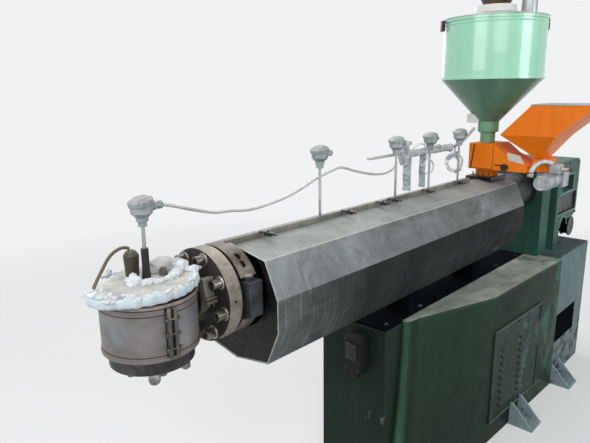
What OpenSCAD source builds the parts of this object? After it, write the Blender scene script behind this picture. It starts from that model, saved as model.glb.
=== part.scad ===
// Single-screw plastic extruder with a vertical strand die, a decagonal barrel
// cover, a side-feeding colour doser and a conical material hopper.
// Origin: on the floor, in the middle of the four anchor holes. +X runs from the
// die towards the drive, the operator side is -Y, +Z is up. Millimetres.

/* [Stance] */
// Height of the barrel axis above the floor
axis_h = 1057; // [1040:1:1080]
// Distance between the anchor holes along the machine
anchor_pitch_x = 520; // [480:5:560]
// Distance between the anchor holes across the machine
anchor_pitch_y = 600; // [590:5:640]
// Diameter of an anchor hole
anchor_hole_d = 18; // [14:1:22]
// Length of a foot plate along the machine
foot_w = 110; // [90:1:130]
// Thickness of a foot plate
foot_t = 14; // [10:1:20]
// Height of the upright web that joins a foot to the base
foot_web_h = 100; // [80:1:108]

/* [Base] */
// Length of the base frame
base_len = 1327; // [1280:1:1360]
// Where the base frame ends at the drive, from the middle of the feet
base_rear_x = 200; // [170:1:230]
// Half width of the base at the drive end
base_half_w = 245; // [235:1:255]
// Where the near edge of the deck runs, from the barrel axis
deck_edge_y = 58; // [50:1:70]
// Height of the deck under the barrel
deck_h = 710; // [690:1:730]
// Thickness of the deck plate
deck_t = 12; // [8:1:20]
// Thickness of the far side sheet
side_sheet_t = 6; // [4:1:10]
// How far the near cover's front edge lies behind the base's front face
bulge_setback = 110; // [90:1:130]
// Half width of the near cover at its front corner
bulge_front_w = 92; // [88:1:110]
// Length over which the near cover flares out to its knee
bulge_flare_len = 407; // [380:1:440]
// Half width of the near cover at its knee
bulge_knee_w = 220; // [210:1:228]
// Radius of the near cover's front corner
bulge_corner_r = 70; // [50:1:80]
// How far the near cover's foot stands forward of its top edge
bulge_batter = 80; // [40:1:100]
// How far the near cover's foot stands out sideways of its top edge
bulge_skirt = 42; // [20:1:50]
// Radius of the near cover's top edge
bulge_edge_r = 14; // [8:1:20]

/* [Access panel] */
// Length of the louvred panel
panel_w = 500; // [460:1:520]
// Height of the louvred panel
panel_h = 450; // [400:1:470]
// Height of the panel's lower edge above the floor
panel_z = 95; // [80:1:130]
// Distance of the panel's rear edge from the base's rear end
panel_rear_gap = 233; // [225:1:238]
// Thickness of the panel's sheet
panel_t = 4; // [2:0.5:6]
// Width of the panel's raised border
panel_border = 9; // [6:1:14]
// How far the border stands out of the panel
panel_border_t = 4; // [2:1:6]
// Louvres in a column
louvre_rows = 9; // [7:1:10]
// Length of a louvre
louvre_w = 140; // [110:1:160]
// Distance between louvres
louvre_pitch = 34; // [30:1:38]
// How far a louvre stands out
louvre_out = 9; // [6:1:12]

/* [Drive] */
// Length of the drive cabinet
cabinet_len = 480; // [440:1:520]
// Half width of the drive cabinet
cabinet_half_w = 230; // [220:1:240]
// Thickness of the cabinet's sheet
cabinet_t = 5; // [4:1:8]
// Thickness of the cabinet's top plate
cabinet_lid_t = 10; // [6:1:14]
// Length of the opening in the cabinet's near side
vent_w = 310; // [260:1:340]
// Height of the opening in the cabinet's near side
vent_h = 160; // [120:1:200]
// Height of the opening's lower edge
vent_z = 215; // [160:1:260]
// Width of the thrust column along the machine
column_len = 115; // [100:1:125]
// Half width of the thrust column
column_half_w = 130; // [124:1:138]
// Front face of the thrust column, from the middle of the feet
column_x = 165; // [155:1:175]
// Front face of the gear case, from the middle of the feet
gear_x = 325; // [310:1:340]
// Length of the gear case
gear_len = 335; // [320:1:340]
// Half width of the gear case
gear_half_w = 150; // [140:1:160]
// Height of the gear case's top above the barrel axis
gear_rise = 131; // [110:1:150]
// Rounding of the gear case's upper edges
gear_r = 34; // [20:1:45]
// Thickness of the near guard panel
guard_t = 8; // [5:1:12]
// Diameter of the drive pulley
pulley_d = 112; // [100:1:124]
// Width of the drive pulley
pulley_w = 46; // [36:1:56]
// Distance of the pulley's axis behind the gear case's front face
pulley_reach = 315; // [300:1:325]
// Height of the pulley's axis above the cabinet
pulley_rise = 80; // [70:1:90]

/* [Barrel] */
// How far the cover's middle hangs below the barrel axis
cover_drop = 57; // [45:1:62]
// Length of the barrel cover
cover_len = 1610; // [1560:5:1640]
// Front face of the barrel cover, from the middle of the feet
cover_front_x = -1790; // [-1810:1:-1770]
// Half width of the cover between its upright sides
cover_half_w = 171; // [164:1:180]
// Height of the cover's upright sides
cover_side_h = 92; // [80:1:110]
// Half width of the cover at its upper and lower shoulders
cover_shoulder_w = 126; // [118:1:136]
// Height of a shoulder above and below the axis
cover_shoulder_h = 147; // [140:1:152]
// Height of the ridge above and below the axis
cover_ridge_h = 169; // [162:1:178]
// Thickness of the cover's sheet
cover_wall = 5; // [3:0.5:8]
// How far the end plates sit inside the cover
end_inset = 4; // [2:1:10]
// Diameter of the opening in the front end plate
front_hole_d = 250; // [240:1:258]
// Thickness of the end plates
end_plate_t = 6; // [4:1:10]
// Outer diameter of the barrel
barrel_d = 130; // [120:1:140]
// Height of the flat bar on the cover's ridge
ridge_bar_h = 16; // [10:1:22]
// Thickness of the flat bar on the cover's ridge
ridge_bar_t = 10; // [6:1:14]
// Length of the flat bar on the cover's ridge
ridge_bar_len = 1410; // [1380:5:1420]
// How far the flat bar stands out before the cover
bar_overhang = 28; // [20:1:32]
// Length of a hold-down clip across the ridge
clip_len = 76; // [60:1:90]
// Width of a hold-down clip
clip_w = 13; // [10:1:18]
// Turn of a hold-down clip across the bar, in degrees
clip_turn = 20; // [10:1:40]
// Length of a stand under the barrel
stand_len = 70; // [50:1:90]
// Half width of a stand under the barrel
stand_half_w = 50; // [40:1:60]

/* [Head] */
// Diameter of the barrel's end flange
flange_d = 250; // [244:1:258]
// Thickness of the barrel's end flange
flange_t = 40; // [36:1:44]
// Diameter of the lifting hole in the flange's rim
rim_hole_d = 8; // [6:1:12]
// Diameter over the split clamp ring
ring_d = 246; // [240:1:256]
// Distance of the flange's front face before the barrel cover
flange_reach = 120; // [115:1:125]
// Distance of the clamp ring's front face before the barrel cover
ring_reach = 70; // [68:1:74]
// Length of the split clamp ring
ring_len = 52; // [46:1:56]
// Gap between the clamp ring's halves
ring_gap = 14; // [10:1:20]
// Distance of a clamp block's inner face from the axis
clamp_in = 87; // [82:1:92]
// Distance of a clamp block's outer face from the axis
clamp_out = 137; // [130:1:142]
// Height of a clamp block
clamp_h = 95; // [86:1:104]
// Length of a bolt that shows between a clamp block and the ring
clamp_show = 9; // [6:1:12]
// Width of the keyed slots in the ring's upper half
slot_w = 14; // [10:1:18]
// Diameter of the adapter between barrel and die
adapter_d = 96; // [86:1:106]
// Pitch circle of the head bolts
bolt_pcd = 208; // [200:1:212]
// Diameter of a head bolt's head
bolt_head_d = 30; // [26:1:34]
// Length of a head bolt's head
bolt_head_len = 30; // [24:1:34]
// Number of head bolts
bolt_count = 8; // [6:1:10]

/* [Die] */
// Distance of the die's axis in front of the barrel cover
die_reach = 270; // [262:1:280]
// Diameter over the die's heater band
band_d = 232; // [222:1:242]
// Height of the die's heater band
band_h = 124; // [116:1:130]
// Thickness of the heater band
band_t = 8; // [6:1:10]
// Depth of the band's lower edge below the barrel axis
band_drop = 77; // [70:1:84]
// Width of the band's clamp gap
band_gap = 14; // [10:1:18]
// Diameter of the die's lower flange
die_flange_d = 186; // [176:1:200]
// Thickness of the die's lower flange
die_flange_t = 38; // [32:1:44]
// Diameter of the die's outlet nozzle
nozzle_d = 44; // [36:1:52]
// Length of the die's outlet nozzle
nozzle_len = 24; // [18:1:30]
// Diameter of the die's outlet hole
outlet_d = 16; // [10:1:20]
// Diameter of the insulation blanket
blanket_d = 268; // [260:1:272]
// Mean thickness of the insulation blanket
blanket_t = 16; // [12:1:24]
// Distance of the bulb plug's axis before the die's axis
plug_reach = 13; // [8:1:20]
// Distance of the bulb plug's axis from the barrel axis, towards the far side
plug_y = 42; // [36:1:48]
// Diameter of the bulb plug at its foot
plug_d = 32; // [28:1:36]
// Height of the bulb plug
plug_h = 66; // [60:1:72]

/* [Sensors] */
// Diameter of a sensor stem
stem_d = 9; // [7:1:11]
// Height of the die sensor's head above the barrel axis
die_sensor_rise = 213; // [200:1:226]
// Height of the barrel sensors' heads above the barrel axis
sensor_rise = 278; // [260:1:296]
// Diameter of a sensor head's body
sensor_head_d = 52; // [46:1:58]
// Height of a sensor head's body
sensor_head_h = 36; // [30:1:42]
// Diameter of a sensor head's lid
sensor_lid_d = 60; // [54:1:66]
// Slope of a sensor head's lid, in degrees
sensor_lid_tilt = 12; // [6:1:18]
// Diameter of the duct that holds the leads
duct_d = 30; // [24:1:36]
// Diameter of the coil of spare lead
coil_d = 85; // [76:1:94]

/* [Hopper] */
// Distance of the hopper's axis behind the cover's front face
hopper_reach = 1548; // [1540:1:1556]
// Diameter of the hopper's drum
drum_d = 435; // [420:1:450]
// Height of the hopper's drum
drum_h = 255; // [230:1:270]
// Height of the hopper's cone
cone_h = 185; // [170:1:200]
// Height of the cone's outlet above the doser's underside
cone_rise = 212; // [205:1:220]
// Wall of the hopper
hopper_wall = 3; // [3:0.5:5]
// Diameter of the hopper's outlet collar
collar_d = 92; // [84:1:100]
// Height of the hopper's outlet collar
collar_h = 46; // [38:1:54]
// Diameter of the hopper's throat pipe
throat_d = 66; // [58:1:74]
// Diameter of the loader's base
loader_d = 170; // [150:1:190]
// Height of the loader's base
loader_base_h = 30; // [24:1:36]

/* [Doser] */
// Length of the doser's housing along the machine
doser_len = 160; // [150:1:170]
// Width of the doser's main housing
doser_w = 96; // [90:1:110]
// Height of the doser's main housing
doser_h = 116; // [106:1:124]
// Height of the doser's underside above the barrel axis
doser_rise = 159; // [150:1:168]
// Diameter of the neck between the doser and the cover
doser_neck_d = 100; // [90:1:108]
// Reach of the doser's screw housing towards the operator
doser_reach = 150; // [130:1:170]
// Wall of the doser's hopper
pan_wall = 3; // [3:0.5:5]
// Diameter of the doser's gear motor
motor_d = 60; // [54:1:66]
// Length of the doser's gear motor
motor_len = 170; // [150:1:190]
// Length of the doser's hopper along the machine
pan_len = 230; // [210:1:250]
// Height of the doser hopper's outlet above the doser's underside
pan_foot_rise = 60; // [54:1:66]
// Height of the doser hopper's knee above the doser's underside
pan_knee_rise = 159; // [150:1:168]
// Height of the doser hopper's rim above the doser's underside
pan_rim_rise = 286; // [276:1:296]

/* [Hidden] */
$fn = 64;

// Clearance between parts that seat on or in each other
seat = 0.3;
e = 0.01;

base_front_x = base_rear_x - base_len;
cover_rear_x = cover_front_x + cover_len;
cabinet_rear_x = base_rear_x + cabinet_len;
die_x = cover_front_x - die_reach;
hopper_x = cover_front_x + hopper_reach;
flange_x = cover_front_x - flange_reach;
ring_x = cover_front_x - ring_reach;
cover_z = axis_h - cover_drop;
band_z = axis_h - band_drop;
band_top = band_z + band_h;
cabinet_h = deck_h;
gear_h = axis_h + gear_rise - cabinet_h;
doser_z = axis_h + doser_rise;
cone_z = doser_z + cone_rise;
seam_h = cone_z + cone_h;

// Places of the barrel's temperature sensors behind the cover's front face
sensor_steps = [379, 812, 1056, 1303];
// The stems stand beside the ridge bar and reach down to the barrel
sensor_y = ridge_bar_t / 2 + stem_d / 2 + 5;
stem_foot_z = axis_h + sqrt(pow(barrel_d / 2, 2) - pow(sensor_y - stem_d / 2, 2)) + seat;

// Half outline of the cover, from the lower ridge up to the upper one
cover_half = [
    [0, -cover_ridge_h], [cover_shoulder_w, -cover_shoulder_h],
    [cover_half_w, -cover_side_h / 2], [cover_half_w, cover_side_h / 2],
    [cover_shoulder_w, cover_shoulder_h], [0, cover_ridge_h]
];

function lerp(a, b, t) = a + (b - a) * t;

// Draws a profile given in Y and Z, relative to the cover's middle, along X
module along_x(x, len) {
    translate([x, 0, cover_z]) rotate([90, 0, 90]) linear_extrude(len) children();
}

// A cylinder along X on the barrel axis
module rod_x(x, len, d) {
    translate([x, 0, axis_h]) rotate([0, 90, 0]) cylinder(d = d, h = len);
}

// A box from its lowest corner and its size
module block(at, size) {
    translate(at) cube(size);
}

// Closed tube of n sides swept along a list of points
function tube_dir(p, i) = let (
    a = p[max(0, i - 1)],
    b = p[min(len(p) - 1, i + 1)],
    d = b - a
) d / norm(d);

module swept_tube(p, d, n) {
    rings = [
        for (i = [0 : len(p) - 1])
            let (
                t = tube_dir(p, i),
                side = cross(t, abs(t.z) > 0.9 ? [0, 1, 0] : [0, 0, 1]),
                u = side / norm(side),
                v = cross(u, t)
            )
            for (k = [0 : n - 1]) p[i] + d / 2 * (u * cos(360 * k / n) + v * sin(360 * k / n))
    ];
    last = (len(p) - 1) * n;
    polyhedron(
        points = rings,
        faces = concat(
            [[for (k = [n - 1 : -1 : 0]) k]],
            [[for (k = [0 : n - 1]) last + k]],
            [
                for (i = [0 : len(p) - 2]) for (k = [0 : n - 1])
                    let (a = i * n + k, b = i * n + (k + 1) % n) [a, b, b + n, a + n]
            ]
        )
    );
}

module base_frame() {
    color("#1f3a30")
    block([base_front_x, -deck_edge_y, 0],
        [base_len, deck_edge_y + base_half_w, deck_h - deck_t]);
}

module deck_plate() {
    color("#2a3038") {
        block([base_front_x, -deck_edge_y, deck_h - deck_t],
            [base_len, deck_edge_y + base_half_w, deck_t]);
        for (x = [-720, -610])
            translate([x, -deck_edge_y + 22, deck_h - e]) cylinder(d = 22, h = 12);
    }
}

// Plan of the near cover at one level: grow is 0 at the top edge and 1 at the floor,
// inset draws the outline in to round the top edge
bulge_x0 = base_front_x + bulge_setback;
function bulge_grow(z) = pow(1 - z / deck_h, 1.6);
bulge_knee_x = bulge_x0 + bulge_corner_r + bulge_flare_len;
function bulge_w(x, grow, inset) = let (
    t = min(1, (x - bulge_x0 - bulge_corner_r) / bulge_flare_len),
    back = max(0, (x - bulge_knee_x) / (base_rear_x - bulge_knee_x)),
    w = lerp(lerp(bulge_front_w, bulge_knee_w, t), base_half_w, back),
    skirt = grow * bulge_skirt * (1 - max(0, t))
) w + skirt - inset;
function bulge_plan(z, inset) = let (
    grow = bulge_grow(z),
    x0 = bulge_x0 - grow * bulge_batter + inset,
    x1 = base_rear_x,
    cr = bulge_corner_r,
    xc = x0 + cr,
    yc = bulge_w(xc, grow, inset) - cr
) concat(
    [[x1, -deck_edge_y - seat, z], [x0, -deck_edge_y - seat, z]],
    yc > deck_edge_y
        ? [for (a = [0 : 15 : 90]) [xc - cr * cos(a), -yc - cr * sin(a), z]]
        : [
            for (a = [0 : 15 : 90])
                let (ry = bulge_w(xc, grow, inset) - deck_edge_y - 4)
                [xc - cr * cos(a), -deck_edge_y - 4 - ry * sin(a), z]
        ],
    [
        for (x = concat([for (t = [0.25 : 0.25 : 1]) lerp(xc, bulge_knee_x, t)], [x1]))
            [x, -bulge_w(x, grow, inset), z]
    ]
);

module near_cover() {
    levels = [
        for (k = [0, 0.2, 0.4, 0.6, 0.8]) bulge_plan(k * deck_h, 0),
        bulge_plan(deck_h - bulge_edge_r, 0),
        bulge_plan(deck_h - bulge_edge_r * 0.3, bulge_edge_r * 0.3),
        bulge_plan(deck_h, bulge_edge_r)
    ];
    n = len(levels[0]);
    top = len(levels) - 1;
    color("#2c5a48")
    polyhedron(
        points = [for (l = levels) for (p = l) p],
        faces = concat(
            [[for (k = [0 : n - 1]) k]],
            [[for (k = [n - 1 : -1 : 0]) top * n + k]],
            [
                for (i = [0 : top - 1]) for (k = [0 : n - 1])
                    let (a = i * n + k, b = i * n + (k + 1) % n)
                        each [[b, a, a + n], [b, a + n, b + n]]
            ]
        )
    );
}

module far_side_sheet() {
    color("#2c5a48")
    block([base_front_x + 20, base_half_w, foot_t + foot_web_h + 16],
        [base_len - 40, side_sheet_t, deck_h - foot_t - foot_web_h - 46]);
}

// The panel lies on the near cover's plane behind the knee
panel_x = base_rear_x - panel_rear_gap - panel_w;
panel_turn = atan2(base_half_w - bulge_knee_w, base_rear_x - bulge_knee_x);
module access_panel() {
    top_y = -seat - panel_t;
    color("#33604f")
    translate([bulge_knee_x, -bulge_knee_w, panel_z]) rotate([0, 0, -panel_turn])
        translate([panel_x - bulge_knee_x, 0, 0]) {
            block([0, top_y, 0], [panel_w, panel_t, panel_h]);
            difference() {
                block([0, top_y - panel_border_t, 0], [panel_w, panel_border_t + e, panel_h]);
                block([panel_border, top_y - panel_border_t - 1, panel_border],
                    [panel_w - 2 * panel_border, panel_border_t + 2, panel_h - 2 * panel_border]);
            }
            for (col = [0, 1], row = [0 : louvre_rows - 1])
                translate([
                    panel_w / 2 + (col == 0 ? -louvre_w - 25 : 25), top_y,
                    60 + row * louvre_pitch
                ]) louvre();
        }
}

module louvre() {
    rotate([90, 0, 90]) linear_extrude(louvre_w)
        polygon([[e, 0], [e, 18], [-louvre_out, 3], [-louvre_out, 0]]);
}

// One foot: a floor plate with an upright web, on the near side of the machine
module foot(y_in) {
    reach = anchor_pitch_y / 2 + 45 - y_in;
    difference() {
        union() {
            block([-foot_w / 2, -y_in - reach, 0], [foot_w, reach, foot_t]);
            for (x = [-foot_w / 2, foot_w / 2 - 10])
                translate([x, -y_in, foot_t - e]) rotate([90, 0, 90]) linear_extrude(10)
                    polygon([[0, 0], [0, foot_web_h], [-14, foot_web_h], [-reach + 6, 0]]);
        }
        translate([0, -anchor_pitch_y / 2, -1]) cylinder(d = anchor_hole_d, h = foot_t + 2);
    }
}

module anchor_feet() {
    color("#8fb3b8")
    for (sy = [0, 1])
        mirror([0, sy, 0]) {
            translate([-anchor_pitch_x / 2, 0, 0])
                foot((sy == 0 ? bulge_w((foot_w - anchor_pitch_x) / 2, 1, 0) : base_half_w) + seat);
            translate([anchor_pitch_x / 2, 0, 0]) foot(cabinet_half_w + seat);
        }
}

module socket_box() {
    color("#3c4440") {
        block([base_front_x - 52, 20, 520], [52, 75, 140]);
        translate([base_front_x - 26, 58, 520 + e]) mirror([0, 0, 1]) cylinder(d = 34, h = 32);
    }
}

vent_x = base_rear_x + 46;
module drive_cabinet() {
    inner_h = cabinet_h - cabinet_lid_t;
    color("#7fa3a6")
    difference() {
        block([base_rear_x, -cabinet_half_w, 0], [cabinet_len, 2 * cabinet_half_w, inner_h]);
        block([base_rear_x + cabinet_t, -cabinet_half_w + cabinet_t, cabinet_t],
            [cabinet_len - 2 * cabinet_t, 2 * (cabinet_half_w - cabinet_t), inner_h]);
        block([vent_x, -cabinet_half_w - 1, vent_z], [vent_w, cabinet_t + 2, vent_h]);
    }
}

module cabinet_top() {
    color("#86aaa6")
    block([base_rear_x, -cabinet_half_w, cabinet_h - cabinet_lid_t],
        [cabinet_len, 2 * cabinet_half_w, cabinet_lid_t]);
}

module thrust_column() {
    color("#2e5546")
    block([column_x, -column_half_w, cabinet_h],
        [column_len, 2 * column_half_w, gear_h]);
}

// Slice of the gear case's outline with rounded upper corners, from y over a depth
module gear_slice(y, depth) {
    block([gear_x, y, cabinet_h], [gear_len, depth, gear_h - gear_r]);
    block([gear_x + gear_r, y, cabinet_h], [gear_len - 2 * gear_r, depth, gear_h]);
    for (x = [gear_x + gear_r, gear_x + gear_len - gear_r])
        translate([x, y, cabinet_h + gear_h - gear_r]) rotate([-90, 0, 0]) cylinder(r = gear_r, h = depth);
}

// Room for the belt wheel: an arch that is open towards the rear, and a round corner
arch_x = gear_x + 82;
arch_r = 50;
arch_z = cabinet_h + 116;
corner_r = 60;
module wheel_room(depth) {
    y = -gear_half_w - 1;
    x1 = gear_x + gear_len + 1;
    floor_z = cabinet_h - 1;
    block([arch_x, y, floor_z], [x1 - arch_x, depth, arch_z - floor_z]);
    block([arch_x + arch_r, y, floor_z], [x1 - arch_x - arch_r, depth, arch_z + 30 - floor_z]);
    translate([arch_x + arch_r, y, arch_z]) rotate([-90, 0, 0]) cylinder(r = arch_r, h = depth);
    difference() {
        block([x1 - 1 - corner_r, y, arch_z + 29], [corner_r + 1, depth, corner_r + 1]);
        translate([x1 - 1 - corner_r, y - 1, arch_z + 30 + corner_r])
            rotate([-90, 0, 0]) cylinder(r = corner_r, h = depth + 2);
    }
}

// Window and plate opening of the guard: x from the case's front, z from the cabinet, size
window_at = [63, 308];
window_size = [184, 88];
plate_at = [22, 190];
plate_size = [290, 106];

module gear_case() {
    color("#3f7d68")
    difference() {
        gear_slice(-gear_half_w + guard_t + seat, 2 * gear_half_w - guard_t - seat);
        wheel_room(120);
        block([gear_x + window_at.x, -gear_half_w, cabinet_h + window_at.y],
            [window_size.x, guard_t + 24, window_size.y]);
        block([gear_x + plate_at.x - 4, -gear_half_w, cabinet_h + plate_at.y - 4],
            [plate_size.x + 8, guard_t + seat + 8, plate_size.y + 8]);
    }
}

module guard_panel() {
    color("#4a8f78")
    difference() {
        gear_slice(-gear_half_w, guard_t);
        wheel_room(guard_t + 2);
        block([gear_x + window_at.x, -gear_half_w - 1, cabinet_h + window_at.y],
            [window_size.x, guard_t + 2, window_size.y]);
        block([gear_x + plate_at.x, -gear_half_w - 1, cabinet_h + plate_at.y],
            [plate_size.x, guard_t + 2, plate_size.y]);
    }
}

module guard_plate() {
    color("#2c3236")
    block([gear_x + plate_at.x - 3, -gear_half_w + guard_t + seat, cabinet_h + plate_at.y - 3],
        [plate_size.x + 6, 6, plate_size.y + 6]);
}

module belt_pulley() {
    color("#26282a")
    translate([gear_x + pulley_reach, -gear_half_w + 12, cabinet_h + pulley_rise])
        rotate([-90, 0, 0]) {
            cylinder(d = pulley_d, h = 8);
            cylinder(d = pulley_d - 16, h = pulley_w);
            translate([0, 0, pulley_w - 8]) cylinder(d = pulley_d, h = 8);
            cylinder(d = 30, h = 106.7);
        }
}

module feed_section() {
    color("#2d3135")
    rod_x(cover_rear_x, column_x - cover_rear_x, 190);
}

module barrel() {
    color("#4c4a47")
    rod_x(flange_x + flange_t, cover_rear_x - flange_x - flange_t, barrel_d);
}

// Cover half on the far side; the near one is its mirror image
module cover_half_shell() {
    inner = [for (p = cover_half) [p.x * k_in, p.y * k_in]];
    along_x(cover_front_x, cover_len)
    difference() {
        polygon(cover_half);
        polygon(inner);
    }
}
k_in = 1 - cover_wall / cover_half_w;

module cover_near_half() {
    color("#8b9096") mirror([0, 1, 0]) translate([0, seat / 2, 0]) cover_half_shell();
}

module cover_far_half() {
    color("#8b9096")
    difference() {
        translate([0, seat / 2, 0]) cover_half_shell();
        for (x = sensor_steps)
            translate([cover_front_x + x, sensor_y, cover_z]) cylinder(d = stem_d + 1, h = 200);
    }
}

module end_disc(x, d) {
    k = k_in - 0.004;
    along_x(x, end_plate_t)
    difference() {
        union() {
            polygon([for (p = cover_half) p * k]);
            mirror([1, 0]) polygon([for (p = cover_half) p * k]);
        }
        translate([0, cover_drop]) circle(d = d);
    }
}

module cover_end_plates() {
    color("#34373a") {
        end_disc(cover_front_x + end_inset, front_hole_d);
        end_disc(cover_rear_x - end_inset - end_plate_t, barrel_d + 2 * seat);
    }
}

bar_z = cover_z + cover_ridge_h;
module ridge_bar() {
    color("#55585a")
    difference() {
        block([cover_front_x - bar_overhang, -ridge_bar_t / 2, bar_z],
            [ridge_bar_len, ridge_bar_t, ridge_bar_h]);
        rod_x(ring_x - 1, ring_len + 1 + seat, ring_d + 2 * seat);
    }
}

// Each clip is a strap across the bar on two studs that stand on the cover
clip_steps = [95, 466, 660, 735, 971, 1233];
module ridge_clips() {
    stud = clip_len / 2 - 8;
    stud_y = stud * cos(clip_turn);
    foot_z = cover_z + cover_ridge_h
        - (cover_ridge_h - cover_shoulder_h) * (stud_y - 4) / cover_shoulder_w + seat;
    color("#1b1c1d")
    for (x = clip_steps)
        translate([cover_front_x + x, 0, 0]) rotate([0, 0, clip_turn]) {
            block([-clip_w / 2, -clip_len / 2, bar_z + ridge_bar_h + seat], [clip_w, clip_len, 5]);
            for (s = [-1, 1])
                translate([0, s * stud, foot_z]) cylinder(d = 8, h = bar_z + ridge_bar_h + 9 - foot_z);
        }
}

module barrel_stands() {
    color("#26302c")
    for (x = [base_front_x + 170, cover_rear_x - 240])
        translate([x, 0, 0]) rotate([90, 0, 90]) linear_extrude(stand_len)
            polygon([
                [-stand_half_w, deck_h], [stand_half_w, deck_h],
                [stand_half_w, cover_z - shoulder_z(stand_half_w)],
                [0, cover_z - cover_ridge_h - seat],
                [-stand_half_w, cover_z - shoulder_z(stand_half_w)]
            ]);
}
// Depth of the cover's lower slope at a distance from the axis, with clearance
function shoulder_z(y) = lerp(cover_ridge_h, cover_shoulder_h, y / cover_shoulder_w) + seat;

module barrel_flange() {
    color("#7c6a55")
    difference() {
        rod_x(flange_x, flange_t, flange_d);
        translate([flange_x + flange_t / 2, 0, axis_h]) rotate([87, 0, 0])
            translate([0, 0, flange_d / 2 - 14]) cylinder(d = rim_hole_d, h = 20);
    }
}

clamp_low = -clamp_h / 2;
module ring_half(sign) {
    difference() {
        rod_x(ring_x, ring_len, ring_d);
        rod_x(ring_x - 1, ring_len + 2, barrel_d + 2 * seat);
        translate([ring_x - 1, -ring_d, axis_h + (sign > 0 ? -ring_d : -ring_gap / 2)])
            cube([ring_len + 2, 2 * ring_d, ring_d + ring_gap / 2]);
        for (s = [0, 1])
            mirror([0, s, 0])
                block([ring_x - 1, clamp_in - seat, axis_h + clamp_low - clamp_show],
                    [ring_len + 2, ring_d, clamp_h + 2 * clamp_show]);
    }
}

// Slot with round ends across the ring's outer surface, turned from the top
module ring_slot(a) {
    translate([ring_x + ring_len / 2, 0, axis_h]) rotate([a, 0, 0])
        translate([0, 0, ring_d / 2 - 12]) {
            translate([-slot_w / 2, -5, 0]) cube([slot_w, 10, 20]);
            for (s = [-1, 1]) translate([0, 5 * s, 0]) cylinder(d = slot_w, h = 20);
        }
}

module clamp_ring_upper() {
    color("#6c6257")
    difference() {
        ring_half(1);
        for (a = [34, 46]) ring_slot(a);
    }
}

module clamp_ring_lower() {
    color("#6c6257") ring_half(-1);
}

module clamp_bolts() {
    color("#3a3a3a")
    for (s = [0, 1])
        mirror([0, s, 0]) {
            block([ring_x + 3, clamp_in, axis_h + clamp_low],
                [ring_len - 6, clamp_out - clamp_in, clamp_h]);
            translate([
                ring_x + ring_len / 2, clamp_in + 22, axis_h + clamp_low - clamp_show + seat
            ]) cylinder(d = 28, h = clamp_h + 2 * clamp_show - 2 * seat);
        }
}

module head_bolts() {
    color("#3d3a36")
    for (i = [0 : bolt_count - 1])
        translate([flange_x, 0, axis_h]) rotate([14 + 360 * i / bolt_count, 0, 0])
            translate([0, 0, bolt_pcd / 2]) rotate([0, -90, 0])
                difference() {
                    cylinder(d = bolt_head_d, h = bolt_head_len);
                    translate([0, 0, 12]) cylinder(d = 19, h = bolt_head_len, $fn = 6);
                }
}

adapter_x0 = die_x + band_d / 2 - 30;
module head_adapter() {
    color("#5b5148")
    rod_x(adapter_x0, flange_x - adapter_x0, adapter_d - 16);
}

module adapter_heater() {
    color("#6b6661")
    difference() {
        rod_x(die_x + band_d / 2 + 6, flange_x - die_x - band_d / 2 - 12, adapter_d);
        rod_x(adapter_x0 - 1, 400, adapter_d - 16 + 2 * seat);
    }
}

module die_body() {
    color("#4a4642")
    difference() {
        union() {
            translate([die_x, 0, band_z - 8]) cylinder(d = band_d - 2 * band_t - 2 * seat, h = band_h + 20);
            translate([die_x, 0, band_z - 8 - die_flange_t]) cylinder(d = die_flange_d, h = die_flange_t + e);
        }
        rod_x(adapter_x0, 200, adapter_d - 16);
    }
}

module die_heater_band() {
    color("#756a6c")
    difference() {
        translate([die_x, 0, band_z]) cylinder(d = band_d, h = band_h);
        translate([die_x, 0, band_z - 1]) cylinder(d = band_d - 2 * band_t, h = band_h + 2);
        translate([die_x, 0, band_z - 1]) rotate([0, 0, clamp_angle])
            translate([0, -band_gap / 2, 0]) cube([band_d, band_gap, band_h + 2]);
        rod_x(die_x, band_d, adapter_d + 12);
    }
}
// Direction of the band's clamp, seen from above, from +X
clamp_angle = -101;

module band_clamp() {
    color("#4b4744")
    translate([die_x, 0, band_z]) rotate([0, 0, clamp_angle]) {
        for (s = [-1, 1])
            translate([band_d / 2 + seat, s * (band_gap / 2 + 5) - 5, 8]) cube([18, 10, band_h - 16]);
        for (z = [26, band_h / 2, band_h - 26])
            translate([band_d / 2 + 10, -band_gap / 2 - 16, z]) rotate([-90, 0, 0]) {
                cylinder(d = 6, h = band_gap + 32);
                cylinder(d = 12, h = 6);
            }
    }
}

module die_top_ring() {
    color("#8a5a42")
    difference() {
        translate([die_x, 0, band_top + 12 - e]) cylinder(d = band_d - 6, h = 10);
        translate([die_x, 0, band_top]) cylinder(d = band_d - 60, h = 40);
    }
}

module die_nozzle() {
    color("#54504b")
    difference() {
        union() {
            translate([die_x, 0, band_z - 8 - die_flange_t - nozzle_len]) cylinder(d = nozzle_d, h = nozzle_len);
            for (i = [0 : 5])
                translate([die_x, 0, band_z - 8 - die_flange_t - 12]) rotate([0, 0, i * 60 + 15])
                    translate([die_flange_d / 2 - 20, 0, 0]) cylinder(d = 20, h = 12);
        }
        translate([die_x, 0, band_z - 100]) cylinder(d = outlet_d, h = 100);
    }
}

module insulation_blanket() {
    z0 = band_top + 22 + seat;
    color("#e6e8ea")
    difference() {
        union() {
            translate([die_x - 16, 0, z0]) cylinder(d = blanket_d, h = blanket_t);
            translate([die_x + 56, 20, z0 + blanket_t - e]) cylinder(d1 = 118, d2 = 60, h = 24);
        }
        translate([die_x, 0, z0 - 1]) cylinder(d = stem_d + 9, h = 100);
    }
}

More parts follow.
